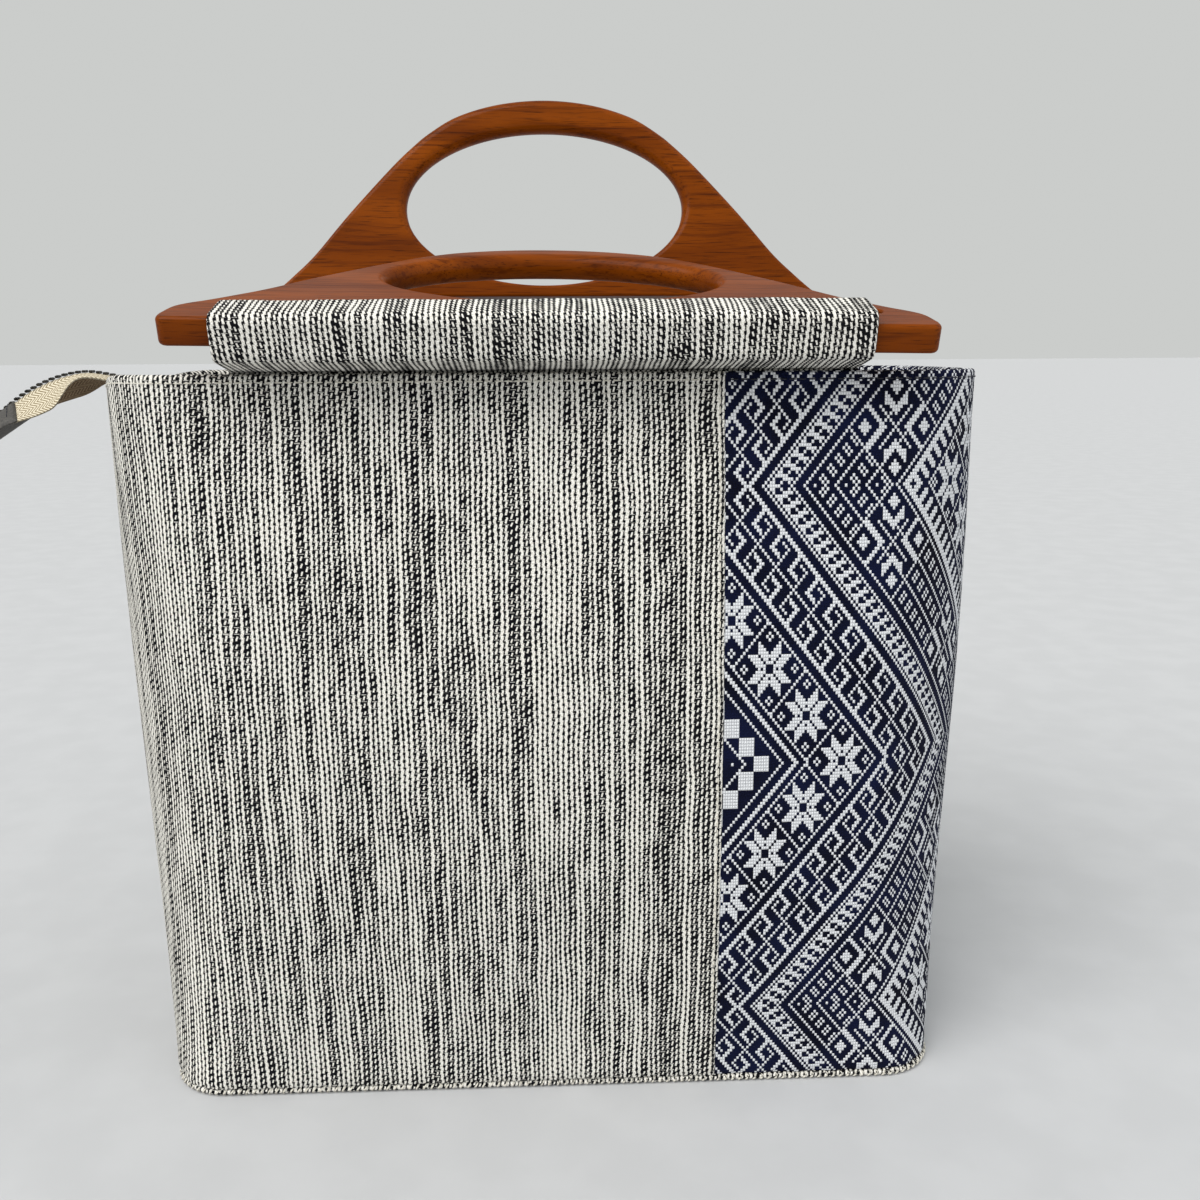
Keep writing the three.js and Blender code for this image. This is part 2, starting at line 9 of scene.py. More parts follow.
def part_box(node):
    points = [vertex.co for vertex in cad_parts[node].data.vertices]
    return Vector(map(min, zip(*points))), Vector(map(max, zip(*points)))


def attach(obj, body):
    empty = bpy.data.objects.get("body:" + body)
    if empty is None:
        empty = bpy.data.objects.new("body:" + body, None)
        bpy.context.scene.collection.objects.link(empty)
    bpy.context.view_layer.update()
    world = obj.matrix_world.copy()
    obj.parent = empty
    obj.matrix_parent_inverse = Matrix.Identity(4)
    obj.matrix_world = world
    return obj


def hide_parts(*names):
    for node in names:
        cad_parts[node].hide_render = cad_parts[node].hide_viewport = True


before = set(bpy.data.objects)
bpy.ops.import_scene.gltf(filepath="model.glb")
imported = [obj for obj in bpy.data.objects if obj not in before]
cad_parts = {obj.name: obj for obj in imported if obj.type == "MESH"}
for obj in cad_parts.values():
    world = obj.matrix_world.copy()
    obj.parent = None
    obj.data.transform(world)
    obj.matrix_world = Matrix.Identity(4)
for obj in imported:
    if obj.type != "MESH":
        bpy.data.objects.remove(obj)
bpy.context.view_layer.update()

MM = 0.001

# Where some pieces' UV maps start, in millimetres, so that they show other stretches of the cloth
SLEEVE_UV_START = 400.0
BACK_UV_START = 40.0
CLOSURE_UV_START = {-1: 840.0, 1: 960.0}

# Body of the bag in millimetres, as in the part
BAG_HEIGHT = 250.0
MOUTH_WIDTH = 290.0
MOUTH_DEPTH = 120.0
CORNER_RADIUS = 34.0
FRONT_BELLY = 8.0
CLOTH_WALL = 2.4
FOLD_PROUD = 0.6
EDGE_ROUND = 0.9
SEAM_X = 56.0
BOTTOM_ROLL = 5.0
BASE_THICKNESS = 2.4
BASE_LIP = 0.9
GAP = 0.3
RIM_DIP = 5.0
RIM_DIP_SPREAD = 52.0
RIM_DIP_REACH = 40.0
# Level sections of the body, as shares of the sizes above, from the base to the rim
SECTIONS = {
    "height": (0.0, 0.06, 0.2, 0.4, 0.6, 0.8, 0.93, 1.0),
    "width": (0.944, 0.964, 0.993, 1.018, 1.035, 1.03, 1.014, 1.008),
    "depth": (0.995, 1.0, 1.015, 1.035, 1.05, 1.03, 1.008, 1.0),
    "corner": (0.55, 0.85, 1.25, 1.5, 1.6, 1.4, 1.12, 1.0),
    "belly": (0.0, 0.15, 0.6, 1.0, 1.0, 0.65, 0.25, 0.1),
}

# Handles and sleeves
HANDLE_THICKNESS = 9.0
BAR_HEIGHT = 13.5
BAR_CORNER = 3.0
SLOT_HEIGHT = 4.5
BRIDGE_HEIGHT = 4.5
HOLE_LENGTH = 111.0
HOLE_HEIGHT = 61.5
ARCH_WIDTH = 12.5
HANDLE_HEIGHT = BAR_HEIGHT + SLOT_HEIGHT + BRIDGE_HEIGHT + HOLE_HEIGHT + ARCH_WIDTH
SLEEVE_WIDTH = 198.5
SLEEVE_WALL = 1.5
SLOT_LENGTH = SLEEVE_WIDTH + 2.0
HANDLE_LENGTH = SLEEVE_WIDTH + 37.0
FRONT = {"shift": 2.0, "y": -76.6, "z": 260.9, "lean": 17.0, "roll": 0.9, "slack": 1.3}
REAR = {"shift": 0.0, "y": 54.5, "z": 259.7, "lean": 80.0, "roll": 0.0, "slack": 0.0}
# Right half of a board's outline, as shares of its half length and its height
HANDLE_OUTLINE = (
    (1.0, 0.05), (0.984, 0.13), (0.953, 0.176), (0.908, 0.217), (0.848, 0.281), (0.776, 0.366),
    (0.658, 0.536), (0.524, 0.715), (0.45, 0.803), (0.388, 0.865), (0.293, 0.933),
    (0.157, 0.982), (0.0, 1.0),
)

# Folk pattern, counted in cells from the point where its chevrons turn. CHART_S is that point's
# distance from the front seam, CHART_Z its height.
CELL_WIDTH = 0.838
CELL_HEIGHT = 1.076
CHART_S = 24.15
CHART_Z = 122.4
HALF_PERIOD = 85
LEFT_MIRROR = -26
RIGHT_MIRROR = 151
THICK_LINES = (0, 38, 65)
DOTTED_LINES = (-20, -5, 5, 33, 52, 138)
LANE_LINES = (87, 99, 111, 123)


def srgb(red, green, blue):
    """Linear colour of an sRGB colour given in 0 to 255."""
    return tuple(((c / 255 + 0.055) / 1.055) ** 2.4 if c > 10 else c / 255 / 12.92
                 for c in (red, green, blue)) + (1.0,)


# Materials


def connect(tree, value, target):
    """Link a node's input to a Field or another node's output, or set it to a constant."""
    if isinstance(value, Field):
        value = value.socket
    if isinstance(value, bpy.types.NodeSocket):
        tree.links.new(value, target)
    else:
        target.default_value = value


def operation(kind, swapped=False):
    """A method that works on a Field and any other values with one math node."""
    def method(self, *others):
        return self.calc(kind, *others, self) if swapped else self.calc(kind, self, *others)
    return method


class Field:
    """A value that a material's nodes work out at every place on a surface."""

    def __init__(self, tree, socket):
        self.tree = tree
        self.socket = socket

    def calc(self, kind, *values, clamp=False):
        node = self.tree.nodes.new("ShaderNodeMath")
        node.operation = kind
        node.use_clamp = clamp
        for target, value in zip(node.inputs, values):
            connect(self.tree, value, target)
        return Field(self.tree, node.outputs[0])

    __add__ = operation("ADD")
    __radd__ = operation("ADD", swapped=True)
    __sub__ = operation("SUBTRACT")
    __rsub__ = operation("SUBTRACT", swapped=True)
    __mul__ = operation("MULTIPLY")
    __rmul__ = operation("MULTIPLY", swapped=True)
    __truediv__ = operation("DIVIDE")
    floor = operation("FLOOR")
    part = operation("FRACT")
    size = operation("ABSOLUTE")
    sin = operation("SINE")
    modulo = operation("FLOORED_MODULO")

    def clamp(self):
        return self.calc("ADD", self, 0.0, clamp=True)

    def step(self, low, high):
        """0 below low, 1 above high, with a smooth rise between them."""
        node = self.tree.nodes.new("ShaderNodeMapRange")
        node.interpolation_type = "SMOOTHSTEP"
        for name, value in (("Value", self), ("From Min", low), ("From Max", high)):
            connect(self.tree, value, node.inputs[name])
        return Field(self.tree, node.outputs["Result"])


class Finish:
    """A material with a Principled shader, and short ways to its nodes."""

    def __init__(self, name, roughness, **constants):
        self.material = bpy.data.materials.new(name)
        self.material.use_nodes = True
        self.tree = self.material.node_tree
        self.shader = self.tree.nodes["Principled BSDF"]
        self.shader.inputs["Roughness"].default_value = roughness
        for key, value in constants.items():
            self.shader.inputs[key.replace("_", " ")].default_value = value

    def node(self, kind, **values):
        """A new node with some of its inputs set or linked."""
        node = self.tree.nodes.new("ShaderNode" + kind)
        for key, value in values.items():
            connect(self.tree, value, node.inputs[key])
        return node

    def feed(self, name, value):
        """Set or link one of the shader's inputs."""
        connect(self.tree, value, self.shader.inputs[name])

    def cloth_place(self):
        """Millimetres along and up the cloth, from the UV map."""
        node = self.node("UVMap")
        node.uv_map = "Cloth"
        split = self.node("SeparateXYZ", Vector=node.outputs[0])
        return [Field(self.tree, output) for output in split.outputs[:2]]

    def own_place(self):
        """The three coordinates of a place in the piece's own space, in metres."""
        split = self.node("SeparateXYZ", Vector=self.node("TexCoord").outputs["Object"])
        return [Field(self.tree, output) for output in split.outputs]

    def vector(self, x, y, z):
        return self.node("CombineXYZ", X=x, Y=y, Z=z).outputs[0]

    def noise(self, x, y=0.0, z=0.0, detail=2.0):
        node = self.node("TexNoise", Vector=self.vector(x, y, z), Scale=1.0, Detail=detail)
        return Field(self.tree, node.outputs[0])

    def chance(self, x, y):
        """A fixed random value for each whole-number place."""
        node = self.node("TexWhiteNoise", Vector=self.vector(x, y, 0.0))
        node.noise_dimensions = "2D"
        return Field(self.tree, node.outputs["Value"])

    def mix(self, share, low, high):
        """A colour between low and high, each a colour or another mix."""
        node = self.node("Mix")
        node.data_type = "RGBA"
        for key, value in (("Factor", share), (6, low), (7, high)):
            connect(self.tree, value, node.inputs[key])
        return node.outputs[2]

    def bump(self, height, distance, strength=1.0):
        node = self.node("Bump", Height=height, Distance=distance, Strength=strength)
        self.feed("Normal", node.outputs[0])


def weave_finish(name, pitch=1.66, row=2.45):
    """Slub plain weave: upright white threads that wave from side to side, thicken, thin out and break
    into dashes over near-black ones. pitch and row are the millimetres from one to the next."""
    f = Finish(name, 0.95, Specular_IOR_Level=0.2)
    across, up = f.cloth_place()
    fuzz = f.noise(across * 2.6, up * 2.0, detail=3.0)
    rough = fuzz - 0.5
    column_at = across / pitch + f.noise(across * 0.08, up * 0.04, detail=2.0) * 1.3
    column = column_at.floor()
    row_at = up / row + column.modulo(2.0) * 0.5 + f.noise(up * 0.2, column * 7.3, detail=1.0) * 0.5
    line = row_at.floor()
    wave = (row_at * (2 * math.pi)).sin()
    in_column = (column_at.part() - 0.5 + wave * 0.09 + rough * 0.24).size()
    in_row = (row_at.part() - 0.5 + rough * 0.2).size()
    knot = f.chance(column, line)
    slub = f.noise(column * 11.7, up * 0.032, detail=2.0)
    patch = f.noise(across * 0.05, up * 0.012, detail=1.0)
    tone = (0.5 + (f.chance(column, 3.0) - 0.5) * 0.85 + (slub - 0.5) * 2.0
            + (patch - 0.5) * 0.6 + (knot - 0.5) * 0.24).clamp()
    wide = 0.19 + tone * 0.17 - in_row * 0.08
    end = 0.24 + tone * 0.34
    thread = (1.0 - (in_column / wide).step(0.75, 1.15)) * (1.0 - in_row.step(end, end + 0.08))
    link = in_row.step(0.38, 0.44) * (knot + tone * 0.3).step(0.5, 0.8) * 0.7
    white = (thread + link * (1.0 - thread)).clamp()
    warm = f.mix(fuzz.step(0.35, 0.65), srgb(212, 208, 197), srgb(253, 251, 245))
    dark = f.mix(fuzz.step(0.45, 0.8), srgb(1, 1, 5), srgb(20, 22, 31))
    f.feed("Base Color", f.mix(white, dark, warm))
    f.bump(white * 0.9 + fuzz * 0.3, 0.0003, 0.8)
    return f.material


def pattern_finish():
    """Navy cloth with white counted stitches. The chart is in the mesh's colours."""
    f = Finish("pattern", 0.95, Specular_IOR_Level=0.15)
    layer = f.node("VertexColor")
    layer.layer_name = "Chart"
    chart = f.node("SeparateColor", Color=layer.outputs["Color"])
    white = Field(f.tree, chart.outputs[0])
    across, up = f.cloth_place()
    in_column = (across / CELL_WIDTH).part() - 0.5
    in_row = (up / CELL_HEIGHT).part() - 0.5
    fuzz = f.noise(across * 2.6, up * 2.6, detail=3.0)
    cloud = f.noise(across * 0.05, up * 0.05, detail=2.0)
    light = f.mix(fuzz.step(0.3, 0.7), srgb(212, 216, 222), srgb(251, 252, 254))
    navy = f.mix((fuzz * 0.6 + cloud * 0.5).step(0.35, 0.8), srgb(1, 1, 6), srgb(13, 22, 58))
    gap = in_column.size().step(0.3, 0.5) * 0.5 + in_row.size().step(0.3, 0.5) * 0.5
    f.feed("Base Color", f.mix(white * (1.0 - gap * 0.62), navy, light))
    stitch = (1.0 - in_column * in_column * 3.4) * (1.0 - in_row * in_row * 3.4)
    f.bump(stitch * (0.5 + white * 0.7) + fuzz * 0.2, 0.0003, 0.9)
    return f.material


def wood_finish():
    """Reddish stained wood under satin varnish. Each board's own X runs along its grain."""
    f = Finish("wood", 0.36, Specular_IOR_Level=0.05, Coat_Weight=0.06, Coat_Roughness=0.12)
    x, y, z = f.own_place()
    bend = f.noise(x * 9.0, y * 30.0, z * 30.0, detail=2.0)
    grain = f.noise(x * 22.0, y * 620.0 + bend * 9.0, z * 620.0, detail=3.0)
    pores = f.noise(x * 90.0, y * 2600.0, z * 2600.0, detail=2.0)
    broad = f.noise(x * 6.0, y * 70.0 + bend * 3.0, z * 70.0, detail=2.0)
    base = f.mix(broad.step(0.3, 0.7), srgb(104, 45, 1), srgb(136, 65, 4))
    base = f.mix(grain.step(0.5, 0.68) * 0.7, base, srgb(84, 34, 3))
    base = f.mix(pores.step(0.56, 0.70) * 0.7, base, srgb(50, 18, 3))
    f.feed("Base Color", base)
    f.feed("Roughness", 0.30 + grain * 0.14)
    f.bump(grain * 0.4 - pores * 0.6, 0.00006, 0.5)
    return f.material


def tape_finish(name, low, high):
    """Cream herringbone tape, in millimetres along and across it."""
    f = Finish(name, 0.92, Specular_IOR_Level=0.2)
    along, across = f.cloth_place()
    zig = (across / 4.4).part() - 0.5
    ribs = (along / 1.5 + zig.size() * 3.6).part() - 0.5
    rib = 1.0 - ribs.size() * 2.0
    fuzz = f.noise(along * 2.5, across * 2.5, detail=3.0)
    f.feed("Base Color", f.mix((rib * 0.8 + fuzz * 0.4).step(0.35, 0.75), low, high))
    f.bump(rib + fuzz * 0.3, 0.00025, 0.9)
    return f.material


def plain_finish(name, colour, other, roughness, scale, bump, **constants):
    """One colour with a fine grain of a second one."""
    f = Finish(name, roughness, **constants)
    x, y, z = f.own_place()
    grain = f.noise(x * scale, y * scale, z * scale, detail=3.0)
    f.feed("Base Color", f.mix(grain.step(0.35, 0.7), srgb(*colour), srgb(*other)))
    f.bump(grain, bump, 0.7)
    return f.material


WEAVE = weave_finish("weave")
SLEEVE = weave_finish("sleeve weave", pitch=1.62, row=2.4)
PATTERN = pattern_finish()
WOOD = wood_finish()
TAPE = tape_finish("tape", srgb(142, 126, 96), srgb(236, 226, 202))
# The tapes' underside: the same herringbone tape in darker brown, which is painted shade where the tape
# faces down
TAPE_UNDERSIDE_SHADE = tape_finish("tape underside painted shade", srgb(86, 68, 50), srgb(140, 120, 94))
THREAD = plain_finish("thread", (205, 200, 186), (232, 229, 220), 0.8, 2500.0, 0.00008)
DARK_THREAD = plain_finish("dark thread", (20, 22, 32), (44, 46, 58), 0.8, 2500.0, 0.00008)
LINING = plain_finish("lining", (24, 27, 44), (38, 42, 62), 0.9, 1600.0, 0.0001)
TEETH = plain_finish("teeth", (34, 33, 31), (70, 67, 62), 0.38, 700.0, 0.00003, Metallic=0.85)
TAB = plain_finish("tab", (58, 56, 53), (82, 79, 75), 0.62, 1400.0, 0.00018)
FLOOR = plain_finish("floor", (193, 194, 196), (197, 198, 200), 0.75, 30.0, 0.00002)


# Meshes


def add_piece(name, points, faces, materials, uv=None, face_material=None, chart=None, smooth=True):
    """A mesh object from points in millimetres. uv is one pair for each point, also in millimetres."""
    mesh = bpy.data.meshes.new(name)
    metres = (np.asarray(points, float) * MM).tolist()
    mesh.from_pydata(metres, [], [list(map(int, face)) for face in faces])
    for material in materials:
        mesh.materials.append(material)
    if face_material is not None:
        mesh.polygons.foreach_set("material_index", np.asarray(face_material, np.int32))
    mesh.polygons.foreach_set("use_smooth", np.full(len(mesh.polygons), smooth))
    if uv is not None:
        layer = mesh.uv_layers.new(name="Cloth")
        index = np.empty(len(mesh.loops), np.int32)
        mesh.loops.foreach_get("vertex_index", index)
        layer.data.foreach_set("uv", np.asarray(uv, np.float32)[index].ravel())
    if chart is not None:
        layer = mesh.color_attributes.new("Chart", "FLOAT_COLOR", "CORNER")
        sizes = np.empty(len(mesh.polygons), np.int32)
        mesh.polygons.foreach_get("loop_total", sizes)
        value = np.repeat(np.asarray(chart, np.float32), sizes)
        rgba = np.stack([value, value, value, np.ones_like(value)], 1)
        layer.data.foreach_set("color", rgba.ravel())
    mesh.update()
    piece = bpy.data.objects.new(name, mesh)
    bpy.context.scene.collection.objects.link(piece)
    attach(piece, "root")
    return piece


def grid_faces(rows, columns, closed=False):
    """Quads of a grid whose points run along each row. A closed grid joins its last row to its first."""
    starts = np.arange(rows if closed else rows - 1)
    row, column = np.meshgrid(starts, np.arange(columns - 1), indexing="ij")
    after = (row + 1) % rows
    corners = (row * columns + column, row * columns + column + 1,
               after * columns + column + 1, after * columns + column)
    return np.stack(corners, -1).reshape(-1, 4)


def ring_faces(rings, sides):
    """Quads between closed rings of points, and a cap at each end."""
    faces = []
    for start in range(0, (rings - 1) * sides, sides):
        for k in range(sides):
            after = (k + 1) % sides
            faces.append([start + k, start + after, start + sides + after, start + sides + k])
    faces.append(list(range(sides))[::-1])
    faces.append([(rings - 1) * sides + k for k in range(sides)])
    return faces


def join_parts(parts):
    """Points, faces and UVs of several small meshes as one."""
    points, faces, uvs, start = [], [], [], 0
    for part in parts:
        part_points, part_faces = part[0], part[1]
        points.append(np.asarray(part_points, float))
        faces.extend([[index + start for index in face] for face in part_faces])
        uvs.append(part[2] if len(part) > 2 else np.zeros((len(part_points), 2)))
        start += len(part_points)
    return np.concatenate(points), faces, np.concatenate(uvs)


def lengths_along(points):
    """Distance from a line's first point to each of its points, along the line."""
    steps = np.linalg.norm(np.diff(points, axis=0), axis=1)
    return np.concatenate([[0], np.cumsum(steps)])


def sample_line(points, at):
    """Points at given distances along a line of points."""
    length = lengths_along(points)
    return np.stack([np.interp(at, length, column) for column in points.T], 1)


def closed_ring(points):
    """A ring of points with its first one repeated at the end."""
    return np.concatenate([points, points[:1]])


def smooth_line(knots, step, samples, spread):
    """Points about a step apart on a smooth curve through knots. spread 0 is a uniform curve, 0.5 a
    centripetal one. samples is the fine points that each stretch is first drawn with."""
    knots = np.asarray(knots, float)
    padded = np.concatenate([2 * knots[:1] - knots[1:2], knots, 2 * knots[-1:] - knots[-2:-1]])
    t = np.linspace(0, 1, samples, endpoint=False)[:, None]
    fine = []
    for p0, p1, p2, p3 in zip(padded, padded[1:], padded[2:], padded[3:]):
        d0, d1, d2 = (np.linalg.norm(b - a) ** spread for a, b in ((p0, p1), (p1, p2), (p2, p3)))
        start_slope = ((p1 - p0) / d0 - (p2 - p0) / (d0 + d1) + (p2 - p1) / d1) * d1
        end_slope = ((p2 - p1) / d1 - (p3 - p1) / (d1 + d2) + (p3 - p2) / d2) * d1
        fine.append(p1 * (2 * t ** 3 - 3 * t ** 2 + 1) + start_slope * (t ** 3 - 2 * t ** 2 + t)
                    + p2 * (3 * t ** 2 - 2 * t ** 3) + end_slope * (t ** 3 - t ** 2))
    fine = np.concatenate([*fine, knots[-1:]])
    whole = lengths_along(fine)[-1]
    return sample_line(fine, np.linspace(0, whole, max(round(whole / step), 2) + 1))


def tube(path, radius, sides=6, taper=0.45):
    """A rounded thread through a few points, with narrowed ends."""
    path = np.asarray(path, float)
    tangent = np.gradient(path, axis=0)
    tangent /= np.linalg.norm(tangent, axis=1)[:, None]
    aside = np.cross(tangent, (0.3, 0.2, 1.0))
    short = np.linalg.norm(aside, axis=1) < 0.2
    aside[short] = np.cross(tangent[short], (1.0, 0.1, 0.0))
    aside /= np.linalg.norm(aside, axis=1)[:, None]
    above = np.cross(aside, tangent)
    sizes = np.full(len(path), radius)
    sizes[0] = sizes[-1] = radius * taper
    turn = (np.arange(sides) * 2 * math.pi / sides)[None, :, None]
    rings = np.cos(turn) * aside[:, None] + np.sin(turn) * above[:, None]
    points = (path[:, None] + sizes[:, None, None] * rings).reshape(-1, 3)
    return points, ring_faces(len(path), sides)


# Body


def smooth_column(name, share):
    """Value of one column of SECTIONS at a height share, by the same smooth curve as the part."""
    key = SECTIONS["height"]
    values = SECTIONS[name]
    row = 0
    while row < len(key) - 2 and key[row + 1] < share:
        row += 1
    before, after = max(row - 1, 0), min(row + 2, len(key) - 1)
    span = key[row + 1] - key[row]
    t = (share - key[row]) / span
    start_slope = (values[row + 1] - values[before]) / (key[row + 1] - key[before]) * span
    end_slope = (values[after] - values[row]) / (key[after] - key[row]) * span
    rest = 1 - t
    return (values[row] * (1 + 2 * t) * rest * rest + start_slope * t * rest * rest
            + values[row + 1] * t * t * (3 - 2 * t) - end_slope * t * t * rest)


def level_line(height, side, inset, start_x=SEAM_X, samples=48):
    """The wall's level line from start_x on the front round one side to start_x on the back."""
    share = min(max(height / BAG_HEIGHT, 0.0), 1.0)
    below = max(BOTTOM_ROLL - height, 0.0)
    roll = BOTTOM_ROLL - math.sqrt(BOTTOM_ROLL ** 2 - below ** 2)
    half_width = smooth_column("width", share) * MOUTH_WIDTH / 2 - roll - inset
    half_depth = smooth_column("depth", share) * MOUTH_DEPTH / 2 - roll - inset
    corner = min(smooth_column("corner", share) * CORNER_RADIUS - roll - inset, half_depth - 2 * GAP)
    belly = smooth_column("belly", share) * FRONT_BELLY
    straight_x = side * (half_width - corner)
    straight_y = half_depth - corner
    along = np.linspace(0, 1, samples)[1:]
    angle = along * math.pi / 2
    front_x = np.concatenate([[start_x], start_x + (straight_x - start_x) * along])
    x = np.concatenate([
        front_x, straight_x + side * corner * np.sin(angle), np.full(samples - 1, side * half_width),
        straight_x + side * corner * np.cos(angle), straight_x + (start_x - straight_x) * along])
    y = np.concatenate([
        np.full(len(front_x), -half_depth), -straight_y - corner * np.cos(angle),
        straight_y * (2 * along - 1), straight_y + corner * np.sin(angle),
        np.full(samples - 1, half_depth)])
    y = y * (1 + belly / half_depth * (1 - (x / half_width) ** 2))
    return x, y, lengths_along(np.stack([x, y], 1))


def rim_dip(x, y, z):
    """How far the rim is pressed down where the zip goes over the left side."""
    spread = np.clip(1 - (y / RIM_DIP_SPREAD) ** 2, 0, 1)
    top = np.clip(1 - (BAG_HEIGHT - z) / RIM_DIP_REACH, 0, 1)
    return np.where(x < 0, RIM_DIP * spread ** 2 * top, 0)


# The height at which a wall's length is measured, and the distance from the front seam up to which
# distances are exact
REFERENCE_HEIGHT = 125.0
EXACT_REACH = 150.0
WALL_LENGTH = {side: level_line(REFERENCE_HEIGHT, side, 0.0)[2][-1] for side in (-1, 1)}


def cloth_point(side, distance, height, inset):
    """Points of a wall at distances from its front seam, all at one height, in millimetres. Beyond
    EXACT_REACH the distances are fitted to the line's own length, so a panel ends at the rear seam."""
    x, y, length = level_line(height, side, inset)
    fit = (length[-1] - EXACT_REACH) / (WALL_LENGTH[side] - EXACT_REACH)
    fitted = np.where(distance < EXACT_REACH, distance, EXACT_REACH + (distance - EXACT_REACH) * fit)
    fitted = np.clip(fitted, 0, length[-1])
    return np.interp(fitted, length, x), np.interp(fitted, length, y)



def soft_fold(side, distance, z):
    """Slight dents and swells of the standing cloth, in millimetres outwards."""
    fade = np.clip((z - 6) / 40, 0, 1) * np.clip((BAG_HEIGHT - 4 - z) / 30, 0, 1)
    u = distance * side
    broad = np.sin(u / 31 + z / 83) * np.sin(z / 47 + 1.3) + 0.6 * np.sin(u / 17 - z / 61 + 0.8)
    tug = 0.5 * np.sin(u / 7.5 + 0.4 * np.sin(z / 30)) * np.clip((BAG_HEIGHT - z) / 60, 0, 1) ** 2
    near_base = 0.22 * np.sin(distance / 2.1) * np.clip((16 - z) / 14, 0, 1)
    near_rim = 0.12 * np.sin(distance / 1.7 + 1) * np.clip((z - 236) / 10, 0, 1)
    return (0.45 * broad + 0.3 * tug) * fade + near_base + near_rim


def wall_rows(proud, steps, inner_steps):
    """Heights, insets and a mark for the inner face, from the base up, over the rim and down inside."""
    low = BASE_THICKNESS + GAP
    edge = (CLOTH_WALL + proud) / 2
    rows = [(z, -proud, False) for z in steps if low <= z < BAG_HEIGHT - edge]
    top = BAG_HEIGHT - edge
    for angle in np.radians((0, 22, 45, 68, 90, 112, 135, 158, 180)):
        rows.append((top + edge * math.sin(angle), -proud + edge * (1 - math.cos(angle)), False))
    for share in np.linspace(0, 1, inner_steps)[1:]:
        rows.append((top + (low - top) * share, CLOTH_WALL, share > 0.08))
    return rows


def wall_mesh(side, distances, rows, proud):
    """Grid of points of one panel and, for each, its distance round and up the cloth."""
    points, uv = [], []
    runs = lengths_along(np.array([row[:2] for row in rows]))
    from_edge = np.minimum(distances, WALL_LENGTH[side] - distances)
    lift = np.sqrt(1 - (1 - np.clip(from_edge / EDGE_ROUND, 0, 1)) ** 2)
    for (z, inset, inner), run in zip(rows, runs):
        fold = 0.0 if inner else soft_fold(side, distances, z)
        out = fold + (proud * lift - proud if inset <= 0 else 0.0)
        x, y = cloth_point(side, distances, z, inset)
        # Outward direction from the line's own neighbours
        dx, dy = np.gradient(x), np.gradient(y)
        size = np.hypot(dx, dy) + 1e-9
        x, y = x + side * dy / size * out, y - side * dx / size * out
        points.append(np.stack([x, y, z - rim_dip(x, y, z)], 1))
        uv.append(np.stack([distances * side, np.full_like(distances, run)], 1))
    return np.concatenate(points), np.concatenate(uv)


def lining_faces(rows, columns):
    """1 for each face of a wall's grid that lies on its inner side, else 0."""
    return np.repeat([int(row[2]) for row in rows[1:]], columns - 1)


def make_weave_panel():
    """The woven cloth of the front left, the left side and the back, with its lining."""
    rows = wall_rows(FOLD_PROUD, np.arange(BASE_THICKNESS + GAP, BAG_HEIGHT, 2.0), 60)
    whole = WALL_LENGTH[-1]
    ends = np.array([0.0, 0.1, 0.3, 0.6, 0.9])
    distances = np.concatenate([ends, np.arange(3.2, whole - 1.2, 2.0), whole - ends[::-1]])
    points, uv = wall_mesh(-1, distances, rows, FOLD_PROUD)
    faces = grid_faces(len(rows), len(distances))
    piece = add_piece("weave_cloth", points, faces, [WEAVE, LINING], uv,
                      lining_faces(rows, len(distances)))
    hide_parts("weave_panel")



def repeat_offset(across, along, middle, first, every, shift=0):
    """Cells right of and above the nearest repeat of a motif, with every cells from one to the next."""
    rise = across - middle
    run = (along - first + every) % (2 * every) - every + 2 * every * shift
    return (rise - run) / 2, (rise + run) / 2


def star(across, along, middle, first):
    """Eight-pointed stars along a band, with dotted spines, small flowers and dotted cross lines."""
    white = np.zeros(across.shape, bool)
    dark = np.zeros(across.shape, bool)
    ring = np.zeros(across.shape, bool)
    for shift in (-1, 0, 1):
        dx, dy = repeat_offset(across, along, middle, first, 15, shift)
        for a, b in ((np.abs(dx), np.abs(dy)), (np.abs(dy), np.abs(dx))):
            white |= (a >= 1) & (a <= 4) & (a < b) & (b < a + 5)
            white |= (a == 0) & (b % 2 == 0) & (b >= 2) & (b <= 6)
        for x, y in ((10, 0), (-10, 0), (0, 10), (0, -10)):
            reach = np.abs(dx - x) + np.abs(dy - y)
            dark |= reach <= 4
            ring |= reach == 1
    run = (along - first) % 30
    white |= (run == 15) & (np.abs(across - middle) < 14)
    return (white & ~dark) | ring


def hooks(across, along, base, first, sign):
    """Running hooks that grow from a thick line, each with a beaded hook beside it."""
    rise = (across - base) * sign
    run = ((along - first) * sign + 2) % 14 - 2
    branch = ((run == 0) | (run == 1)) & (rise <= 10)
    limb = (rise >= 9) & (rise <= 10) & (run >= 0) & (run <= 6)
    tail = (rise == 4) & ((run == 4) | (run == 6))
    bead = (run == 8) & (rise >= 4) & (rise <= 14)
    return (branch | limb | tail | bead) & (rise > 0) & (rise <= 14)


def lattice(across, along):
    """White ground with two rows of dark blobs and a row of dark dots at both edges."""
    ground = (across >= 71) & (across <= 82)
    dark = (across == 72) | (across == 81)
    for middle, way in ((75, 1), (79, -1)):
        dx, dy = repeat_offset(across, along, middle, 1, 3)
        dark |= (dy == 0) & (np.abs(dx) <= 1)
        dark |= (dy == way) & ((dx == -way) | (dx == 0))
    return ground & ~dark


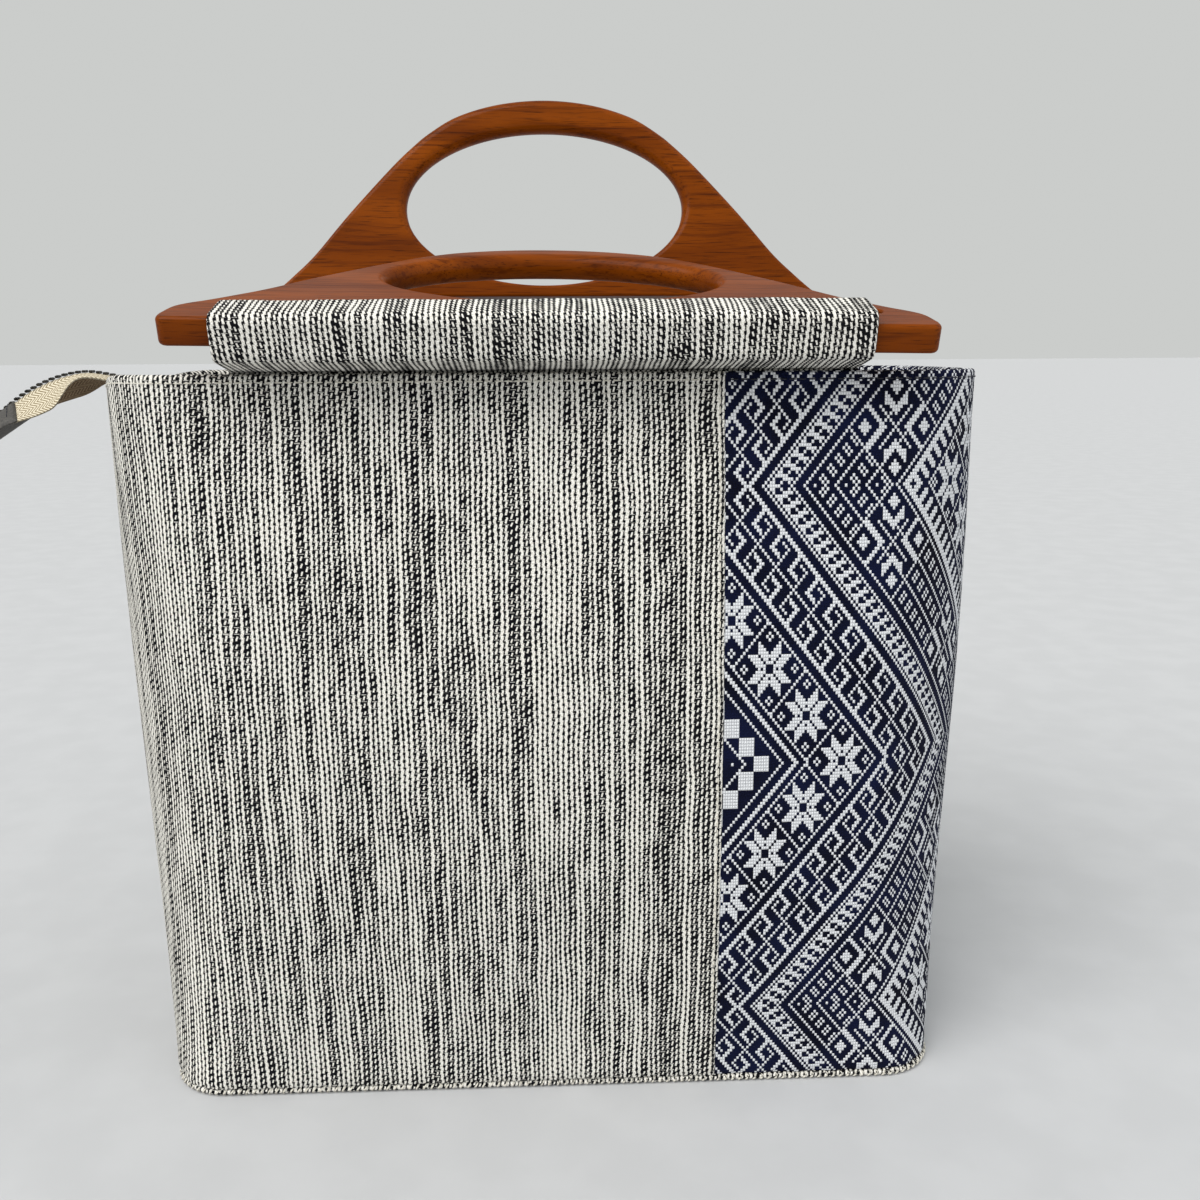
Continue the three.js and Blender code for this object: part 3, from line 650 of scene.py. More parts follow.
def lanes(across, along):
    """Dotted lanes of small rings, broken by blocks of four starred diamonds with thick brackets."""
    lane_middle = (LANE_LINES[0] + LANE_LINES[-1]) / 2
    reach = np.abs(across - lane_middle)
    white = np.isin(across, LANE_LINES)
    inside = (across > LANE_LINES[0]) & (across < LANE_LINES[-1])
    block_run = (along - 31 + 36) % 72 - 36
    block = np.abs(block_run) <= 18
    rings = np.zeros(across.shape, bool)
    for line, next_line in zip(LANE_LINES, LANE_LINES[1:]):
        dx, dy = repeat_offset(across, along, (line + next_line) // 2 - 1, 2, 3)
        for x, y in ((0, 0), (1, 1)):
            rings |= np.abs(dx - x) + np.abs(dy - y) == 1
    figure = (np.abs(block_run) == 18) | (block_run == 0) & (reach <= 12)
    figure |= (reach == 0) & (np.abs(block_run) <= 12)
    for side_a in (-1, 1):
        for side_b in (-1, 1):
            a = (across - lane_middle - 12 * side_a) * side_a
            b = (block_run - 12 * side_b) * side_b
            dx, dy = (a - b) / 2, (a + b) / 2
            centre = (np.abs(dx) + np.abs(dy) <= 2) | ((np.abs(dx) <= 1) & (np.abs(dy) <= 1))
            hollow = (np.abs(a) <= 5) & (np.abs(b) <= 5)
            if side_a == side_b:
                wide, inwards = np.abs(dx), -dy
                arm = (wide <= 4) & (inwards >= 6 - wide) & (inwards <= np.maximum(8 - wide, 5))
            else:
                arm = ((a == -7) | (a == -8)) & (b >= -8) & (b <= 5)
                arm |= ((b == -7) | (b == -8)) & (a >= -8) & (a <= 5)
            figure = (figure & ~hollow) | centre & hollow | arm
    return (white | np.where(block, figure, rings)) & (inside | white)


def folk_chart(column, row):
    """Whether each cell is white. Columns and rows count from the point where the chevrons turn."""
    turn = np.abs((row + HALF_PERIOD) % (2 * HALF_PERIOD) - HALF_PERIOD)
    across = column + turn
    along = turn - column
    across = np.where(across > RIGHT_MIRROR, 2 * RIGHT_MIRROR - across, across)
    across = np.where(across < LEFT_MIRROR, 2 * LEFT_MIRROR - across, across)
    white = np.zeros(across.shape, bool)
    for thick in THICK_LINES:
        white |= (across == thick) | (across == thick + 1)
    white |= np.isin(across, DOTTED_LINES)
    white |= star(across, along, 19, -19) & (across > 5) & (across < 33)
    white |= star(across, along, RIGHT_MIRROR, 19) & (across > 138)
    dx, dy = repeat_offset(across, along, -13, 13, 6)
    white |= (dx >= -3) & (dx < 3) & (dy >= -3) & (dy < 3) & (across > -20) & (across < -5)
    dx, dy = repeat_offset(across, along, LEFT_MIRROR, 0, 6)
    white |= (np.abs(dx) + np.abs(dy) == 1) & (across < -21)
    white |= hooks(across, along, 38, 6, 1) | hooks(across, along, 66, 8, -1)
    white |= lattice(across, along) | lanes(across, along)
    white |= (across >= 126) & (across <= 128)
    white |= (across >= 128) & (across <= 135) & (along % 6 < 3)
    return white


def make_pattern_panel():
    """The patterned cloth, with one face for each cell of the chart."""
    whole = WALL_LENGTH[1]
    first = math.ceil(-CHART_S / CELL_WIDTH)
    edges = CHART_S + CELL_WIDTH * (np.arange(first, first + int(whole / CELL_WIDTH)) - 0.5)
    edges = edges[(edges > 0.2) & (edges < whole - 0.3)]
    cell_columns = np.round((edges - CHART_S) / CELL_WIDTH + 0.5).astype(int)
    cell_columns = np.concatenate([[cell_columns[0] - 1], cell_columns])
    distances = np.concatenate([[0.0], edges, [whole]])
    foot = BASE_THICKNESS + GAP
    lowest = math.ceil((foot - CHART_Z) / CELL_HEIGHT + 0.5)
    cells_up = math.ceil(BAG_HEIGHT / CELL_HEIGHT)
    steps = CHART_Z + CELL_HEIGHT * (np.arange(lowest, lowest + cells_up) - 0.5)
    rows = wall_rows(0.0, np.concatenate([[foot], steps]), 14)
    points, uv = wall_mesh(1, distances, rows, 0.0)
    faces = grid_faces(len(rows), len(distances))
    run = lengths_along(np.array([row[:2] for row in rows]))
    middle = (run[1:] + run[:-1]) / 2 + foot
    cell_rows = np.round((middle - CHART_Z) / CELL_HEIGHT).astype(int)
    row, column = np.meshgrid(cell_rows, cell_columns, indexing="ij")
    uv += (CELL_WIDTH / 2 - CHART_S, foot - CHART_Z + CELL_HEIGHT / 2)
    piece = add_piece("pattern_cloth", points, faces, [PATTERN, LINING], uv,
                      lining_faces(rows, len(distances)), folk_chart(column, row).ravel().astype(float))
    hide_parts("pattern_panel")


# Stitches. STITCH_SHAPE has shares of a stitch's length and heights above the cloth. WHIP_SHAPE has
# shares of a whipped stitch's lean, distances out of the base's edge and heights above the floor.
STITCH = 3.1
STITCH_RADIUS = 0.24
STITCH_SHAPE = ((0.08, -0.15), (0.25, 0.1), (0.5, 0.16), (0.75, 0.1), (0.9, -0.15))
STITCH_FROM_RIM = 2.6
STITCH_FROM_SEAM = 1.5
WHIP_PITCH = 2.6
WHIP_LEAN = 0.7
WHIP_RADIUS = 0.32
WHIP_SHAPE = ((0.0, -0.5, 0.3), (0.0, 0.15, 0.8), (0.5, 0.25, 1.3), (1.0, 0.1, 1.9), (1.0, -0.6, 2.4))


def surface_at(side, distance, z, out):
    """One point a little outside the cloth."""
    proud = FOLD_PROUD if side < 0 else 0.0
    x, y = cloth_point(side, np.array([distance - 0.2, distance, distance + 0.2]), z, -proud)
    dx, dy = x[2] - x[0], y[2] - y[0]
    size = math.hypot(dx, dy) + 1e-9
    away = soft_fold(side, distance, z) + out
    px, py = x[1] + side * dy / size * away, y[1] - side * dx / size * away
    return (px, py, z - float(rim_dip(px, py, z)))


def stitch(side, distance, height, upright):
    """One stitch from a place on the wall, up the wall or else round it."""
    along, up = (0, STITCH) if upright else (STITCH, 0)
    return tube([surface_at(side, distance + along * share, height + up * share, out)
                 for share, out in STITCH_SHAPE], STITCH_RADIUS)


def make_topstitch():
    """A row of stitches below the rim all round, and one beside each seam on the weave."""
    below_rim = BAG_HEIGHT - STITCH_FROM_RIM
    for side, slot_name, material in ((-1, "weave", THREAD), (1, "pattern", DARK_THREAD)):
        whole = WALL_LENGTH[side]
        parts = [stitch(side, 1.6 + k * STITCH, below_rim, 0) for k in range(int((whole - 3) / STITCH))]
        if slot_name == "weave":
            parts += [stitch(side, edge, 4 + k * STITCH, 1)
                      for edge in (STITCH_FROM_SEAM, whole - STITCH_FROM_SEAM)
                      for k in range(int((BAG_HEIGHT - 8) / STITCH))]
        points, faces, _ = join_parts(parts)
        piece = add_piece(f"{slot_name}_topstitch", points, faces, [material])


def base_ring(inset, z):
    """The base's outline at one inset, as a closed ring of points."""
    right = level_line(BASE_THICKNESS, 1, inset, 0.0, 60)
    left = level_line(BASE_THICKNESS, -1, inset, 0.0, 60)
    x = np.concatenate([right[0], left[0][::-1][1:]])
    y = np.concatenate([right[1], left[1][::-1][1:]])
    return np.stack([x, y, np.full(len(x), z)], 1)


def make_base():
    """The bottom cloth with its rolled lip, and the whipped stitches round it."""
    profile = ((BASE_THICKNESS / 2 + 3, 0.0), (0.6, 0.0), (0.5 - BASE_LIP, 0.35), (-BASE_LIP, 1.1),
               (0.15 - BASE_LIP, 1.9), (0.25, BASE_THICKNESS), (3.0, BASE_THICKNESS))
    rings = [base_ring(inset, z) for inset, z in profile]
    count = len(rings[0])
    around = lengths_along(rings[3])
    down = lengths_along(np.array(profile))
    uv = np.stack([np.tile(around, len(rings)), np.repeat(down, count)], 1)
    faces = grid_faces(len(rings), count).tolist()
    rolled = len(faces)
    # Flat bottom and inner floor as fans from the middle
    for index, ring in ((0, 0), (1, len(rings) - 1)):
        centre = len(rings) * count + index
        start = ring * count
        faces.extend([[start + k, start + k + 1, centre] for k in range(count - 1)])
    points = np.concatenate([*rings, [[0, 0, 0], [0, 0, BASE_THICKNESS]]])
    uv = np.concatenate([uv, np.zeros((2, 2))])
    piece = add_piece("base_cloth", points, faces, [WEAVE, LINING], uv, np.arange(len(faces)) >= rolled)
    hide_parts("base_panel")
    ring = base_ring(-BASE_LIP, 0.0)[:, :2]
    whips = []
    for k in range(int(lengths_along(ring)[-1] / WHIP_PITCH)):
        low, high = sample_line(ring, np.array([0, WHIP_LEAN]) + k * WHIP_PITCH)
        out = low / np.linalg.norm(low)
        path = [(*(low + (high - low) * share + out * lift), z) for share, lift, z in WHIP_SHAPE]
        whips.append(tube(path, WHIP_RADIUS))
    points, faces, _ = join_parts(whips)
    add_piece("base_stitches", points, faces, [THREAD])


# Handles and sleeves


def arc(centre, radius, start, end, steps=6):
    """Points round a centre, from a start angle to an end angle in degrees."""
    angle = np.radians(np.linspace(start, end, steps + 1))
    return np.stack([centre[0] + radius * np.cos(angle), centre[1] + radius * np.sin(angle)], 1)


def level_points(half, corner, height, samples):
    """Points along a level stretch between two corners, from left to right."""
    x = np.linspace(corner - half, half - corner, samples)[1:-1]
    return np.stack([x, np.full_like(x, height)], 1)


def board_loops():
    """The board's outline, slot and finger hole as closed loops, each with its edge radius."""
    half = HANDLE_LENGTH / 2
    knots = [(across * half, up * HANDLE_HEIGHT) for across, up in HANDLE_OUTLINE]
    mirrored = [(-x, y) for x, y in knots[:-1]][::-1]
    outline = np.concatenate([
        arc((BAR_CORNER - half, BAR_CORNER), BAR_CORNER, 180, 270),
        level_points(half, BAR_CORNER, 0.0, 120),
        arc((half - BAR_CORNER, BAR_CORNER), BAR_CORNER, 270, 360),
        smooth_line(knots + mirrored, 1.5, 24, 0.0),
    ])
    radius = SLOT_HEIGHT / 2
    slot_end = SLOT_LENGTH / 2
    slot = np.concatenate([
        level_points(slot_end, 0.0, BAR_HEIGHT, 100),
        arc((slot_end, BAR_HEIGHT + radius), radius, -90, 90),
        level_points(slot_end, 0.0, BAR_HEIGHT + SLOT_HEIGHT, 100)[::-1],
        arc((-slot_end, BAR_HEIGHT + radius), radius, 90, 270),
    ])
    hole_middle = BAR_HEIGHT + SLOT_HEIGHT + BRIDGE_HEIGHT + HOLE_HEIGHT / 2
    turn = np.linspace(0, 2 * math.pi, 180, endpoint=False)
    hole = np.stack([HOLE_LENGTH / 2 * np.cos(turn), hole_middle + HOLE_HEIGHT / 2 * np.sin(turn)], 1)
    # The edges are rounder where the hand holds the arch
    hole_radius = 1.5 + 2.6 * np.clip(np.sin(turn) + 0.75, 0, 1)
    outer_radius = 1.5 + 1.6 * np.clip((outline[:, 1] / HANDLE_HEIGHT - 0.45) / 0.4, 0, 1)
    return (outline, outer_radius), (slot, np.full(len(slot), 0.9)), (hole, hole_radius)



def loop_normals(loop, inward):
    """Unit directions into the wood at each point of a loop."""
    tangent = np.roll(loop, -1, 0) - np.roll(loop, 1, 0)
    tangent /= np.linalg.norm(tangent, axis=1)[:, None] + 1e-9
    area = np.sum(loop[:, 0] * np.roll(loop[:, 1], -1) - np.roll(loop[:, 0], -1) * loop[:, 1])
    normal = np.stack([-tangent[:, 1], tangent[:, 0]], 1) * np.sign(area)
    return normal if inward else -normal


def make_handle(name, node, pose):
    """A wooden board with rounded edges, built flat and then leaned and rolled into its place."""
    quarter = np.radians(np.linspace(0, 90, 7))
    sections_from_back = [(-1, angle) for angle in quarter[::-1]] + [(1, angle) for angle in quarter]
    points, faces, rims = [], [], {-1: [], 1: []}
    start = 0
    for index, (loop, radius) in enumerate(board_loops()):
        count = len(loop)
        into = loop_normals(loop, index == 0)
        stack = []
        for face, angle in sections_from_back:
            offset = radius * (1 - np.cos(angle))
            z = face * (HANDLE_THICKNESS / 2 - radius + radius * np.sin(angle))
            stack.append(np.column_stack([loop + into * offset[:, None], z]))
        points.extend(stack)
        rows = len(stack)
        for quad in ring_faces(rows, count)[:-2]:
            quad = [start + corner for corner in quad]
            faces.append(quad if index == 0 else quad[::-1])
        rims[-1].append((start, stack[0]))
        rims[1].append((start + (rows - 1) * count, stack[-1]))
        start += rows * count
    for face, loops in rims.items():
        flat = [[Vector(point) for point in ring] for _, ring in loops]
        numbers = [first + k for first, ring in loops for k in range(len(ring))]
        for triangle in tessellate_polygon(flat):
            corners = [numbers[k] for k in triangle]
            faces.append(corners if face > 0 else corners[::-1])
    piece = add_piece(name, np.concatenate(points), faces, [WOOD])
    above_rim = (pose["z"] - BAG_HEIGHT) * MM
    piece.matrix_world = (
        Matrix.Translation((0, 0, BAG_HEIGHT * MM)) @ Matrix.Rotation(math.radians(pose["roll"]), 4, "Y")
        @ Matrix.Translation((pose["shift"] * MM, pose["y"] * MM, above_rim))
        @ Matrix.Rotation(math.radians(pose["lean"]), 4, "X"))
    weighted = piece.modifiers.new("even shading", "WEIGHTED_NORMAL")
    weighted.keep_sharp = True
    weighted.weight = 100
    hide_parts(node)


def board_point(pose, up, through):
    """A place on a board as the bag's Y and Z."""
    lean = math.radians(pose["lean"])
    return (pose["y"] + up * math.cos(lean) - through * math.sin(lean),
            pose["z"] + up * math.sin(lean) + through * math.cos(lean))


def bar_loop(pose, margin):
    """Rounded outline round the bar, grown by a margin, in the bag's YZ plane."""
    face = HANDLE_THICKNESS / 2
    corners = ((BAR_HEIGHT, face), (0.0, face), (0.0, -face), (BAR_HEIGHT, -face))
    return [tuple(board_point(pose, *place)) for quarter, corner in enumerate(corners)
            for place in arc(corner, margin, 90 * quarter, 90 * quarter + 90)]



def hull_of(points):
    """Convex outline round points, anticlockwise."""
    ordered = sorted(set(map(tuple, points)))

    def chain(items):
        kept = []
        for p in items:
            while len(kept) > 1 and ((kept[-1][0] - kept[-2][0]) * (p[1] - kept[-2][1])
                                     - (kept[-1][1] - kept[-2][1]) * (p[0] - kept[-2][0])) <= 0:
                kept.pop()
            kept.append(p)
        return kept[:-1]

    return np.array(chain(ordered) + chain(ordered[::-1]))


# Where a sleeve's loop ends above the rim, and its doubled tail that hangs inside the wall
SLEEVE_FOOT = BAG_HEIGHT + 0.5
TAIL_END = 237.4
TAIL_HALF = 1.2
TAIL_INSET = CLOTH_WALL + GAP + TAIL_HALF
SLEEVE_STEPS = 64


def make_sleeve(name, node, pose, side):
    """Cloth loop from inside the rim round the bar and back, with turned-in side edges."""
    cavity = GAP + pose["slack"]
    tail_y = side * (MOUTH_DEPTH / 2 - TAIL_INSET)
    neck = [(tail_y - TAIL_HALF, SLEEVE_FOOT), (tail_y + TAIL_HALF, SLEEVE_FOOT)]
    outer = hull_of(bar_loop(pose, cavity + SLEEVE_WALL) + neck)
    inner = hull_of(bar_loop(pose, cavity) + [(tail_y, SLEEVE_FOOT + SLEEVE_WALL)])
    # Both outlines start at the rim and run round the bar
    paths = []
    for outline in (outer, inner):
        from_rim = np.linalg.norm(outline - (tail_y + side * TAIL_HALF, SLEEVE_FOOT), axis=1)
        loop = closed_ring(np.roll(outline, -int(np.argmin(from_rim)), 0))
        paths.append(sample_line(loop, np.linspace(0, lengths_along(loop)[-1], SLEEVE_STEPS)))
    middle = (paths[0] + paths[1]) / 2
    away = paths[0] - middle
    away /= np.linalg.norm(away, axis=1)[:, None] + 1e-9
    half_width = SLEEVE_WIDTH / 2
    edge = half_width - np.array([0.0, 0.2, 0.6])
    xs = np.concatenate([-edge, np.arange(1.6 - half_width, half_width - 1.5, 1.6), edge[::-1]])
    share = np.linspace(0, 1, SLEEVE_STEPS)[:, None]
    up_cloth = share * lengths_along(closed_ring(outer))[-1]
    grids, uvs = [], []
    for path, columns, looseness in ((paths[0], xs, 1.0), (paths[1], xs[::-1], 0.5)):
        near = np.clip((half_width - np.abs(columns)) / 0.8, 0, 1)
        pinch = 1 - np.sqrt(1 - (1 - near) ** 2)
        wave = 0.28 * np.sin(columns / 9.0 + 2.0 * share) + 0.2 * np.sin(columns / 3.7 + 1.0)
        wave = wave * np.sin(share * math.pi * 2) ** 2 * looseness
        section = (path[:, None] + (middle - path)[:, None] * pinch[:, None]
                   + away[:, None] * wave[:, :, None])
        x = np.broadcast_to(columns, wave.shape)
        grids.append(np.dstack([x, section]))
        uvs.append(np.dstack([x + SLEEVE_UV_START, np.broadcast_to(up_cloth, wave.shape)]))
    grid, uv = (np.concatenate([*layers, layers[0][:, :1]], 1) for layers in (grids, uvs))
    # The doubled tail inside the rim
    tail = ((-TAIL_HALF, SLEEVE_FOOT + 0.4, 0.0), (-TAIL_HALF, TAIL_END, -13.0),
            (TAIL_HALF, TAIL_END, -15.0), (TAIL_HALF, SLEEVE_FOOT + 0.4, -28.0))
    tail_grid = [(x, tail_y + y, z) for y, z, _ in tail for x in xs]
    tail_uv = [(x + SLEEVE_UV_START, v) for _, _, v in tail for x in xs]
    points, faces, uv = join_parts([
        (grid.reshape(-1, 3), grid_faces(SLEEVE_STEPS, grid.shape[1]).tolist(), uv.reshape(-1, 2)),
        (tail_grid, grid_faces(len(tail), len(xs), True).tolist(), np.array(tail_uv))])
    piece = add_piece(name, points, faces, [SLEEVE], uv)
    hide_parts(node)


# Mouth and zip

CLOSURE_TOP = 236.5
CLOSURE_CLOTH = 1.6
TAPE_WIDTH = 13.0
TAPE_THICKNESS = 1.0
CHAIN_WIDTH = 4.6
CHAIN_HEIGHT = 1.8
TOOTH_HEIGHT = 0.9
TOOTH_PITCH = 2.4
ZIP_END_INSET = 22.0
CLIMB_LENGTH = 34.0
TAIL_LENGTH = 50.0
TAIL_DROP = 11.5
RIM_CLEARANCE = 1.9
CLOSURE_DROP = 13.5
TAB_LENGTH = 24.0
TAB_WIDTH = 26.0
TAB_THICKNESS = 2.6
ZIP_TAIL = (
    (0.0, 0.0, 2, 2), (0.15, -0.03, 2, 3), (0.25, -0.12, 2, 6), (0.37, -0.19, 5, 19),
    (0.48, -0.15, 24, 33), (0.64, 0.04, 50, 34), (0.82, 0.43, 46, 26), (1.0, 1.0, 25, 16),
)


def zip_line(step):
    """The zip's centre line as (x, z), from its right end to the free end at the left."""
    wall = MOUTH_WIDTH / 2
    level = CLOSURE_TOP - TAPE_THICKNESS / 2
    over_rim = BAG_HEIGHT - RIM_DIP + TAPE_THICKNESS / 2 + RIM_CLEARANCE
    knots = [(wall - ZIP_END_INSET, level), (0, level), (CLIMB_LENGTH * 1.3 - wall, level),
             (CLIMB_LENGTH - wall, level + CHAIN_HEIGHT / 4),
             (CLIMB_LENGTH / 3 - wall, over_rim - CLOSURE_DROP / 4)]
    knots += [(-wall - out * TAIL_LENGTH, over_rim - down * TAIL_DROP) for out, down, _, _ in ZIP_TAIL]
    return smooth_line(knots, step, 30, 0.5)


def zip_places(step):
    """Centres, directions and both folds along the zip."""
    line = zip_line(step)
    tangent = np.gradient(line, axis=0)
    tangent /= np.linalg.norm(tangent, axis=1)[:, None]
    upward = np.stack([-tangent[:, 1], tangent[:, 0]], 1)
    upward *= np.sign(upward[:, 1])[:, None]
    out = (-line[:, 0] - MOUTH_WIDTH / 2) / TAIL_LENGTH
    climb = np.clip(1 + out * TAIL_LENGTH / CLIMB_LENGTH, 0, 1)
    shares, _, *folds = np.array(ZIP_TAIL).T
    soften = np.ones(7) / 7
    front, rear = (np.radians(np.convolve(
        np.pad(np.interp(out, shares, fold) * climb, 3, "edge"), soften, "valid")) for fold in folds)
    return line, tangent, upward, front, rear


def zip_point(line, upward, k, across, up):
    """A place beside and above point k of the zip's centre line."""
    return (line[k, 0] + upward[k, 0] * up, across, line[k, 1] + upward[k, 1] * up)


def make_tape(name, node, side):
    """One tape, bent down from the teeth and slightly rounded, with its woven edge."""
    line, _, upward, front, rear = zip_places(1.2)
    folds = front if side < 0 else rear
    widths = np.array([0.15, 0.8, 1.6, 3.2, 5.0, 7.0, 9.0, 10.8, 12.0, 12.6, TAPE_WIDTH - 0.1])
    half = TAPE_THICKNESS / 2 * 0.9
    points, uvs = [], []
    profile = [(w, 1) for w in widths] + [(w, -1) for w in widths[::-1]]
    profile.append(profile[0])
    for k, (run, fold) in enumerate(zip(lengths_along(line), folds)):
        for w, face in profile:
            ease = min(w / 2.5, 1.0)
            angle = fold * (0.55 + 0.45 * ease)
            thick = half * (1.0 if 0.2 < w < 12.5 else 0.55)
            across = w * math.cos(angle) + math.sin(angle) * thick * face
            up = -w * math.sin(angle) + math.cos(angle) * thick * face
            points.append(zip_point(line, upward, k, side * across, up))
            uvs.append((run, w if face > 0 else w + BACK_UV_START))
    columns = len(profile)
    faces = grid_faces(len(line), columns).tolist()
    faces.append(list(range(columns - 1)))
    faces.append([(len(line) - 1) * columns + k for k in range(columns - 1)][::-1])
    # Faces on the tape's underside take the darker copy of the tape material, painted shade
    shaded_underside = ([0] * len(widths) + [1] * len(widths)) * (len(line) - 1) + [0, 0]
    piece = add_piece(name, points, faces, [TAPE, TAPE_UNDERSIDE_SHADE], uvs, shaded_underside)
    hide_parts(node)


def rounded_block(centre, axes, sizes, radius):
    """A block with chamfered long edges. axes are its three directions, sizes its three lengths."""
    a, b, c = (np.asarray(axis, float) for axis in axes)
    la, lb, lc = (size / 2 for size in sizes)
    points = []
    for end, shrink in ((-1, radius), (-1, 0), (1, 0), (1, radius)):
        x = end * (la - (radius if shrink == 0 else 0))
        for sb, sc in ((1, 1), (-1, 1), (-1, -1), (1, -1)):
            for corner in ((0, 1), (1, 0)) if sb * sc > 0 else ((1, 0), (0, 1)):
                yb = sb * (lb - shrink - radius * corner[0])
                zc = sc * (lc - shrink - radius * corner[1])
                points.append(np.asarray(centre) + a * x + b * yb + c * zc)
    return points, ring_faces(4, 8)


def make_teeth():
    """Single teeth across the middle, with the tape showing between them."""
    line, tangent, upward, _, _ = zip_places(TOOTH_PITCH)
    middle = TAPE_THICKNESS / 2 - 0.1 + TOOTH_HEIGHT / 2
    parts = []
    for k in range(len(line)):
        axes = ((tangent[k, 0], 0, tangent[k, 1]), (0, 1, 0), (upward[k, 0], 0, upward[k, 1]))
        for side in (-1, 1):
            centre = zip_point(line, upward, k, side * CHAIN_WIDTH * 0.2, middle)
            sizes = (TOOTH_PITCH * 0.5, CHAIN_WIDTH * 0.4, TOOTH_HEIGHT)
            parts.append(rounded_block(centre, axes, sizes, 0.2))
    points, faces, _ = join_parts(parts)
    piece = add_piece("zip_teeth", points, faces, [TEETH], smooth=False)
    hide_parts("zip_chain")


# Blocks of the slider and its pull: distance from its right end, place across, height, sizes, chamfer
SLIDER_BLOCKS = (
    (5.5, 0, 1.0, (11.0, 8.5, 1.5), 0.4), (5.5, 3.9, 0.9, (10.4, 0.8, 1.8), 0.2),
    (5.5, -3.9, 0.9, (10.4, 0.8, 1.8), 0.2), (3.2, 0, 2.5, (3.0, 1.8, 1.6), 0.3),
    (8.6, 0, 2.4, (1.6, 5.4, 1.2), 0.3), (20.5, -2.1, 2.5, (23.0, 1.2, 1.1), 0.3),
    (20.5, 2.1, 2.5, (23.0, 1.2, 1.1), 0.3), (27.0, 0, 2.5, (9.0, 4.6, 0.9), 0.3),
)


def make_slider():
    """Slider body with its bridge, and the pull lying flat."""
    low, high = np.array(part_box("zip_slider")) / MM
    points, faces, _ = join_parts([
        rounded_block((high[0] - back, across, low[2] + up), np.eye(3), sizes, chamfer)
        for back, across, up, sizes, chamfer in SLIDER_BLOCKS])
    piece = add_piece("zip_slider_body", points, faces, [TEETH], smooth=False)
    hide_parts("zip_slider")


# The tab's stitch row, with where it starts across the tab and down from the tab's upper end
TAB_STITCHES = 9
TAB_STITCH_START = -11.0
TAB_STITCH_PITCH = 2.45
TAB_STITCH_RUN = 2.6
TAB_STITCH_RADIUS = 0.18
TAB_STITCH_SHAPE = ((0.1, -0.1), (0.6, 0.12), (1.2, 0.14), (1.7, 0.12), (2.2, -0.1))


def make_tab():
    """Folded tab over the end of the tapes, in their tent shape, with rounded edges and a stitch row."""
    step = 1.2
    line, tangent, upward, front, rear = zip_places(step)
    lead = 5
    overlap = lead * step
    length = TAB_LENGTH + overlap
    wing = TAB_WIDTH / 2 + 0.3
    edge = wing - np.array([0.0, 0.2, 0.8])
    across = np.concatenate([-edge, np.linspace(-11.2, 11.2, 15), edge[::-1]])
    runs = np.concatenate([[0.0, 0.2, 0.8], np.linspace(2.2, length - 2, 12),
                           [length - 0.9, length - 0.2, length]])
    half = TAB_THICKNESS / 2
    number = np.arange(len(line))

    def rounded(distance):
        """Share of the full thickness at a distance from an edge."""
        near = np.clip(distance / 1.1, 0, 1)
        return math.sqrt(1 - (1 - near) ** 2)

    def body(run, w, face, lift=0.0):
        at = number[-1] - lead + min(run / step, lead)
        centre, ahead, above = (np.array([np.interp(at, number, values[:, axis]) for axis in (0, 1)])
                                for values in (line, tangent, upward))
        past = max(run - overlap, 0.0)
        fold = np.interp(at, number, front if w < 0 else rear)
        thick = half * rounded(wing - abs(w)) * rounded(min(run, length - run))
        angle = fold * (1 - past / TAB_LENGTH / 2)
        soft = math.hypot(w, 1.5) - 1.5
        place = centre + ahead * past + above * (face * thick + lift - soft * math.sin(angle))
        return (place[0], w * math.cos(angle), place[1])

    points = [[body(run, w, face) for face, row in ((1, across), (-1, across[::-1])) for w in row]
              for run in runs]
    points = np.array([closed_ring(ring) for ring in points])
    faces = grid_faces(len(runs), points.shape[1]).tolist()
    piece = add_piece("zip_end_tab", points.reshape(-1, 3), faces, [TAB])
    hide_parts("zip_tab")
    stitches = []
    for k in range(TAB_STITCHES):
        start = TAB_STITCH_START + k * TAB_STITCH_PITCH
        path = [body(TAB_STITCH_RUN, start + t, 1, h) for t, h in TAB_STITCH_SHAPE]
        stitches.append(tube(path, TAB_STITCH_RADIUS))
    points, faces, _ = join_parts(stitches)
    add_piece("zip_tab_stitches", points, faces, [DARK_THREAD])



def make_closure(name, node, side):
    """Cloth between the wall and the zip tape, with a soft sag and a turned edge."""
    inset = CLOTH_WALL + GAP
    height = CLOSURE_TOP - CLOSURE_CLOTH
    right = level_line(height, 1, inset, 0.0, 40)
    half_width = right[0].max()
    xs = np.linspace(-half_width + 0.4, half_width - 0.4, 120)
    front = right[1] < 0
    order = np.argsort(right[0][front])
    reach = np.interp(np.abs(xs), right[0][front][order], -right[1][front][order])
    edge = TAPE_WIDTH + GAP
    shares = np.array([0, 0.01, 0.03, 0.08, 0.2, 0.4, 0.6, 0.8, 0.92, 0.97, 1.0])
    rows, uvs = [], []
    for face in (1, -1):
        for share in (shares if face > 0 else shares[::-1]):
            y = edge + np.maximum(reach - edge, 0.5) * share
            sag = -0.5 * math.sin(share * math.pi) - 0.15 * np.sin(xs / 11) * math.sin(share * math.pi)
            lift = 0.0 if 0.02 < share < 0.98 else 0.35
            z = CLOSURE_TOP - CLOSURE_CLOTH / 2 + face * (CLOSURE_CLOTH / 2 - lift) + sag
            rows.append(np.stack([xs, side * y, z], 1))
            uvs.append(np.stack([xs + CLOSURE_UV_START[side], y], 1))
    faces = grid_faces(len(rows), len(xs), True).tolist()
    count = len(xs)
    faces.append([r * count for r in range(len(rows))])
    faces.append([r * count + count - 1 for r in range(len(rows))][::-1])
    piece = add_piece(name, np.concatenate(rows), faces, [WEAVE], np.concatenate(uvs))
    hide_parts(node)


